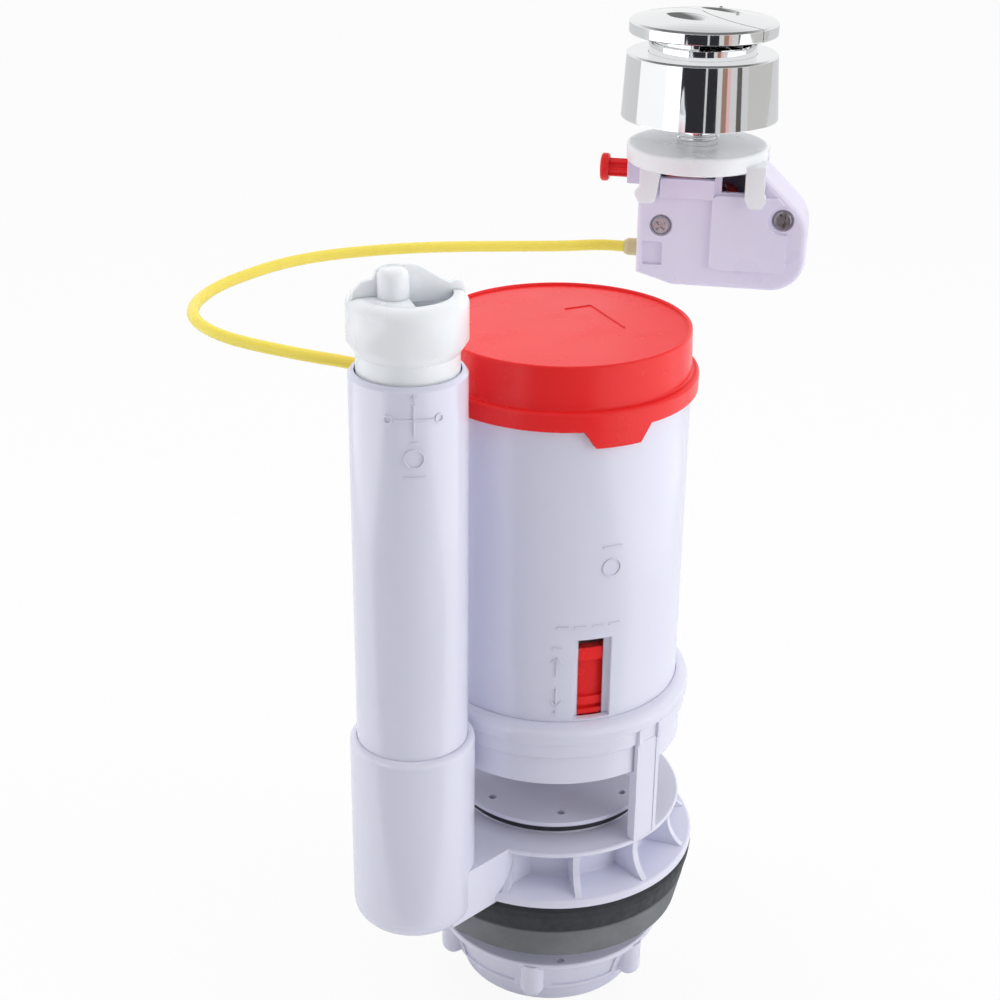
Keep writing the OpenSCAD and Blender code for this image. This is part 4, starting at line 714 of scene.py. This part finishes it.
class FLUSH_OT_overflow_cap(bpy.types.Operator):
    """Turn the overflow's milky slider with its cap and low handle"""

    bl_idname = "flush.overflow_cap"
    bl_label = "Overflow cap"

    wall: FloatProperty(name="Wall", description="Slider's wall", default=1.9 * MM, unit="LENGTH")
    neck: FloatProperty(
        name="Neck", description="Gap from the tube to the cap", default=5.4 * MM, unit="LENGTH")
    cap_h: FloatProperty(name="Cap height", description="Height of the cap", default=16.4 * MM, unit="LENGTH")
    lip: FloatProperty(
        name="Lip", description="How far the cap stands out past the tube", default=0.2 * MM, unit="LENGTH")
    shoulder_r: FloatProperty(
        name="Shoulder", description="Rounding of the cap's upper edge", default=3.0 * MM, unit="LENGTH")
    handle_h: FloatProperty(
        name="Handle height", description="Handle above the cap", default=8.2 * MM, unit="LENGTH")
    handle_t: FloatProperty(
        name="Handle thickness", description="Thickness of the grip", default=2.4 * MM, unit="LENGTH")
    handle_turn: FloatProperty(
        name="Handle turn", description="Handle's angle", default=math.radians(18), subtype="ANGLE")
    post_r: FloatProperty(
        name="Post radius", description="Radius of the post beside the grip", default=4.4 * MM, unit="LENGTH")
    web_t: FloatProperty(
        name="Web", description="Thickness of the web in the cap's mouth", default=2.0 * MM, unit="LENGTH")

    def execute(self, context):
        axis = middle_of("overflow_tube")
        tube_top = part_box("overflow_tube")[1].z
        below_rim = tube_top - 20 * MM
        z_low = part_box("overflow_slider")[0].z
        z_cap = tube_top + self.neck
        z_top = z_cap + self.cap_h
        outer_r = wall_radius("overflow_slider", axis, 0.0, (z_low + tube_top) / 2)
        cap_r = wall_radius("overflow_tube", axis, 0.0, below_rim) + self.lip
        bm = bmesh.new()
        self.turn_sleeve(bm, axis, outer_r, cap_r, (z_low, z_cap, z_top))
        handle = bmesh.new()
        self.add_handle(handle, cap_r, z_top)
        self.add_post(handle, z_top)
        self.close_quarter(handle, outer_r - self.wall, z_top)
        place = Matrix.Translation((axis.x, axis.y, 0)) @ Matrix.Rotation(self.handle_turn, 4, "Z")
        bmesh.ops.transform(handle, matrix=place, verts=handle.verts)
        join_into(bm, handle)
        cap = add_piece("overflow_cap", bm, "overflow_body", "clear_pp")
        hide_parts("overflow_slider")
        return {"FINISHED"}

    def turn_sleeve(self, bm, axis, outer_r, cap_r, heights):
        """The tube with its seal groove, and the cap with a round shoulder."""
        z_low, z_cap, z_top = heights
        seal_low, seal_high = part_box("overflow_seal")
        fit = 0.1 * MM
        inner_r = outer_r - self.wall
        groove_r = outer_r - 1.1 * MM
        groove_low = seal_low.z - fit
        groove_high = seal_high.z + fit
        chin_r = cap_r - 2.3 * MM
        z_chin = z_cap + 3.6 * MM
        profile = (
            (inner_r, z_low), (outer_r, z_low), (outer_r, groove_low), (groove_r, groove_low),
            (groove_r, groove_high), (outer_r, groove_high), (outer_r, z_cap), (chin_r, z_cap),
            (cap_r, z_chin), (cap_r, z_top), (inner_r, z_top))
        edges = closed_outline(bm, [(axis.x + r, axis.y, z) for r, z in profile])[1]
        spin_round(bm, edges, (axis.x, axis.y, 0), 96)
        rim = {
            vert for vert in bm.verts
            if abs(vert.co.z - z_top) < fit and (vert.co.xy - axis.xy).length > cap_r - fit}
        shoulder = [edge for edge in bm.edges if rim.issuperset(edge.verts)]
        round_edges(bm, shoulder, self.shoulder_r, 6)

    def add_handle(self, bm, cap_r, z_top):
        """The fan-shaped grip across the cap, with a thumb rest at its right end."""
        top = z_top + self.handle_h
        foot = z_top - 3.0 * MM
        end = cap_r - 0.8 * MM
        fan = (
            (-end, foot), (-end + 0.6 * MM, z_top + 1.5 * MM), (-end + 3.4 * MM, z_top + 4.4 * MM),
            (-9.6 * MM, top - 3.5 * MM), (-8.6 * MM, top - 1.0 * MM), (-6.1 * MM, top), (1.6 * MM, top),
            (3.3 * MM, top - 0.5 * MM))
        thumb_rest = (
            (end - 4.2 * MM, z_top + 2.0 * MM), (end - 2.4 * MM, z_top + 2.6 * MM),
            (end - 0.8 * MM, z_top + 2.2 * MM), (end, z_top + 0.9 * MM), (end, foot))
        face = bm.faces.new([bm.verts.new((x, -self.handle_t / 2, z)) for x, z in fan + thumb_rest])
        grown = bmesh.ops.extrude_face_region(bm, geom=[face])
        far = [item for item in grown["geom"] if isinstance(item, bmesh.types.BMVert)]
        bmesh.ops.translate(bm, vec=(0, self.handle_t, 0), verts=far)
        round_edges(bm, bm.edges[:], 0.5 * MM, 3)

    def add_post(self, bm, z_top):
        """The round post that the fingers push against."""
        post_x = -4.6 * MM
        post_y = -2.6 * MM
        sunk = 2.0 * MM
        height = self.handle_h + sunk
        top = z_top + self.handle_h
        made = bmesh.ops.create_cone(
            bm, cap_ends=True, segments=48, radius1=self.post_r, radius2=self.post_r, depth=height,
            matrix=Matrix.Translation((post_x, post_y, top - height / 2)))
        upper = {vert for vert in made["verts"] if abs(vert.co.z - top) < 0.01 * MM}
        rim = {edge for vert in upper for edge in vert.link_edges if upper.issuperset(edge.verts)}
        round_edges(bm, list(rim), 2.4 * MM, 6)

    def close_quarter(self, bm, inner_r, z_top):
        """The web that closes the cap's mouth in front of the grip, beside the post."""
        web_r = inner_r + 0.1 * MM
        web_side = (-1.0 * MM, 0, 0)
        grip_middle = (0, 0, 0)
        web = bmesh.new()
        bmesh.ops.create_cone(
            web, cap_ends=True, segments=64, radius1=web_r, radius2=web_r, depth=self.web_t,
            matrix=Matrix.Translation((0, 0, z_top - self.web_t / 2)))
        for point, out in ((web_side, (1, 0, 0)), (grip_middle, (0, 1, 0))):
            cut = bmesh.ops.bisect_plane(
                web, geom=web.verts[:] + web.edges[:] + web.faces[:], plane_co=point, plane_no=out,
                clear_outer=True)
            bmesh.ops.contextual_create(web, geom=edges_in(cut["geom_cut"]))
        join_into(bm, web)


class FLUSH_OT_threads(bpy.types.Operator):
    """Cut the threads that show on the outlet tail and the button's stem"""

    bl_idname = "flush.threads"
    bl_label = "Threads"

    tail_h: FloatProperty(
        name="Tail ridge", description="Height of the outlet's thread", default=0.6 * MM, unit="LENGTH")
    stem_h: FloatProperty(
        name="Stem ridge", description="Height of the stem's thread", default=0.45 * MM, unit="LENGTH")

    def execute(self, context):
        detail = context.scene.flush_detail
        clear = 1.3 * MM
        heights = (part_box("back_nut")[1].z + clear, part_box("grey_washer")[0].z - clear)
        bm = self.thread_on("outlet_base", TOWER_AXIS, heights, detail.tail_pitch, self.tail_h, 96)
        add_piece("tail_thread", bm, ROOT, "white_abs")
        clear = 1.0 * MM
        into_skirt = 2.0 * MM
        axis = middle_of("threaded_stem")
        heights = (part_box("clamp_bracket")[1].z + clear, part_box("lid_skirt")[0].z + into_skirt)
        bm = self.thread_on("threaded_stem", axis, heights, detail.stem_pitch, self.stem_h, 64)
        add_piece("stem_thread", bm, ROOT, "chrome")
        return {"FINISHED"}

    def thread_on(self, node, axis, heights, pitch, ridge, steps):
        """A ridge that climbs round a node's wall between two heights."""
        low, high = heights
        sunk = 0.1 * MM
        wall_r = wall_radius(node, axis, 0.0, (low + high) / 2)
        section = thread_section(axis, wall_r - sunk, wall_r + ridge, low, pitch)
        bm = bmesh.new()
        screw_sweep(bm, section, axis, pitch, (high - low) / pitch, steps)
        return bm


class FLUSH_OT_springs(bpy.types.Operator):
    """Wind the flush keys' springs"""

    bl_idname = "flush.springs"
    bl_label = "Springs"

    wire_r: FloatProperty(
        name="Wire radius", description="Half the wire's thickness", default=0.4 * MM, unit="LENGTH")

    def execute(self, context):
        turns = context.scene.flush_detail.spring_turns
        for key in KEYS:
            node = key + "_spring"
            low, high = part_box(node)
            axis = (low + high) / 2
            length = high.z - low.z
            bm = bmesh.new()
            pitch = (length - 2 * self.wire_r) / turns
            screw_sweep(bm, self.wire_section(low, high), axis, pitch, turns, 32)
            spring = add_piece(node + "_coil", bm, ROOT, "steel")
            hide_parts(node)
            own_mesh(spring)
        return {"FINISHED"}

    def wire_section(self, low, high):
        """The wire's round section at the foot of the coil."""
        sides = 10
        middle = Vector((high.x - self.wire_r, (low.y + high.y) / 2, low.z + self.wire_r))
        angles = [2 * math.pi * side / sides for side in range(sides)]
        return [middle + self.wire_r * Vector((math.cos(a), 0, math.sin(a))) for a in angles]


class FLUSH_OT_marks(bpy.types.Operator):
    """Raise the plain setting marks on the overflow tube and the tower"""

    bl_idname = "flush.marks"
    bl_label = "Marks"

    def execute(self, context):
        tube_axis = middle_of("overflow_tube")
        self.raise_marks("tube_marks", draw_cross, "overflow_tube", tube_axis, -82.0, 222.0)
        self.raise_marks("tower_ring_mark", draw_ring, "tower_shell", TOWER_AXIS, -67.5, 166.0)
        self.raise_marks("volume_scale", draw_scale, "tower_shell", TOWER_AXIS, -91.0, 128.0)
        self.raise_marks("window_dashes", draw_dashes, "tower_shell", TOWER_AXIS, -77.0, 147.0)
        return {"FINISHED"}

    def raise_marks(self, name, draw, node, axis, degrees, height):
        """Draws marks flat and bends them onto a node's wall, at an angle and a height in millimetres."""
        azimuth = math.radians(degrees)
        z = height * MM
        bm = bmesh.new()
        draw(bm)
        bend_round(bm, axis, wall_radius(node, axis, azimuth, z), azimuth, z)
        add_piece(name, bm, ROOT, "white_abs")


class FLUSH_OT_pips(bpy.types.Operator):
    """Raise the two small pips on the flush keys"""

    bl_idname = "flush.pips"
    bl_label = "Pips"

    pip_r: FloatProperty(name="Pip radius", description="Radius of a pip", default=0.9 * MM, unit="LENGTH")
    pip_h: FloatProperty(name="Pip height", description="Height of a pip", default=0.63 * MM, unit="LENGTH")

    def execute(self, context):
        low_dome = Matrix.Diagonal((self.pip_r, self.pip_r, self.pip_h, 1.0))
        for number, (x, y) in enumerate(KEY_PIPS, 1):
            key, top = key_under(x * MM, y * MM)
            bm = bmesh.new()
            bmesh.ops.create_uvsphere(
                bm, u_segments=20, v_segments=12, radius=1.0, matrix=Matrix.Translation(top) @ low_dome)
            add_piece("key_pip_%d" % number, bm, key + "_body", "chrome")
        return {"FINISHED"}


class FLUSH_OT_stage(bpy.types.Operator):
    """Set up the floor, light and camera"""

    bl_idname = "flush.stage"
    bl_label = "Stage"

    def execute(self, context):
        studio = context.scene.flush_studio
        lay_floor()
        light_room(studio.room_level, studio.mirror_level)
        for name, place, width, height in SOFT_LIGHTS:
            soft_light(name + "_light", place, width, height, getattr(studio, name + "_power"))
        for name, low, high, tone in MIRROR_CARDS:
            mirror_card(name, Vector(low), Vector(high), tone)
        set_camera(studio)
        context.scene.view_settings.view_transform = "Standard"
        return {"FINISHED"}


class FLUSH_PT_panel(bpy.types.Panel):
    """Buttons for each step"""

    bl_idname = "FLUSH_PT_panel"
    bl_label = "Flush valve"
    bl_space_type = "VIEW_3D"
    bl_region_type = "UI"
    bl_category = "Flush valve"

    def draw(self, context):
        for operator in OPERATORS:
            self.layout.operator(operator.bl_idname)


OPERATORS = (
    FLUSH_OT_finishes, FLUSH_OT_cable, FLUSH_OT_overflow_cap, FLUSH_OT_threads, FLUSH_OT_springs,
    FLUSH_OT_marks, FLUSH_OT_pips, FLUSH_OT_stage)
GROUPS = (("flush_finish", FlushFinish), ("flush_detail", FlushDetail), ("flush_studio", FlushStudio))


def register():
    for name, group in GROUPS:
        bpy.utils.register_class(group)
        setattr(bpy.types.Scene, name, PointerProperty(type=group))
    for operator in OPERATORS:
        bpy.utils.register_class(operator)
    bpy.utils.register_class(FLUSH_PT_panel)


def unregister():
    bpy.utils.unregister_class(FLUSH_PT_panel)
    for operator in reversed(OPERATORS):
        bpy.utils.unregister_class(operator)
    for name, group in reversed(GROUPS):
        delattr(bpy.types.Scene, name)
        bpy.utils.unregister_class(group)


def main():
    register()
    bpy.ops.flush.finishes()
    bpy.ops.flush.cable()
    bpy.ops.flush.overflow_cap()
    bpy.ops.flush.threads()
    bpy.ops.flush.springs()
    bpy.ops.flush.marks()
    bpy.ops.flush.pips()
    bpy.ops.flush.stage()


if __name__ == "__main__":
    main()
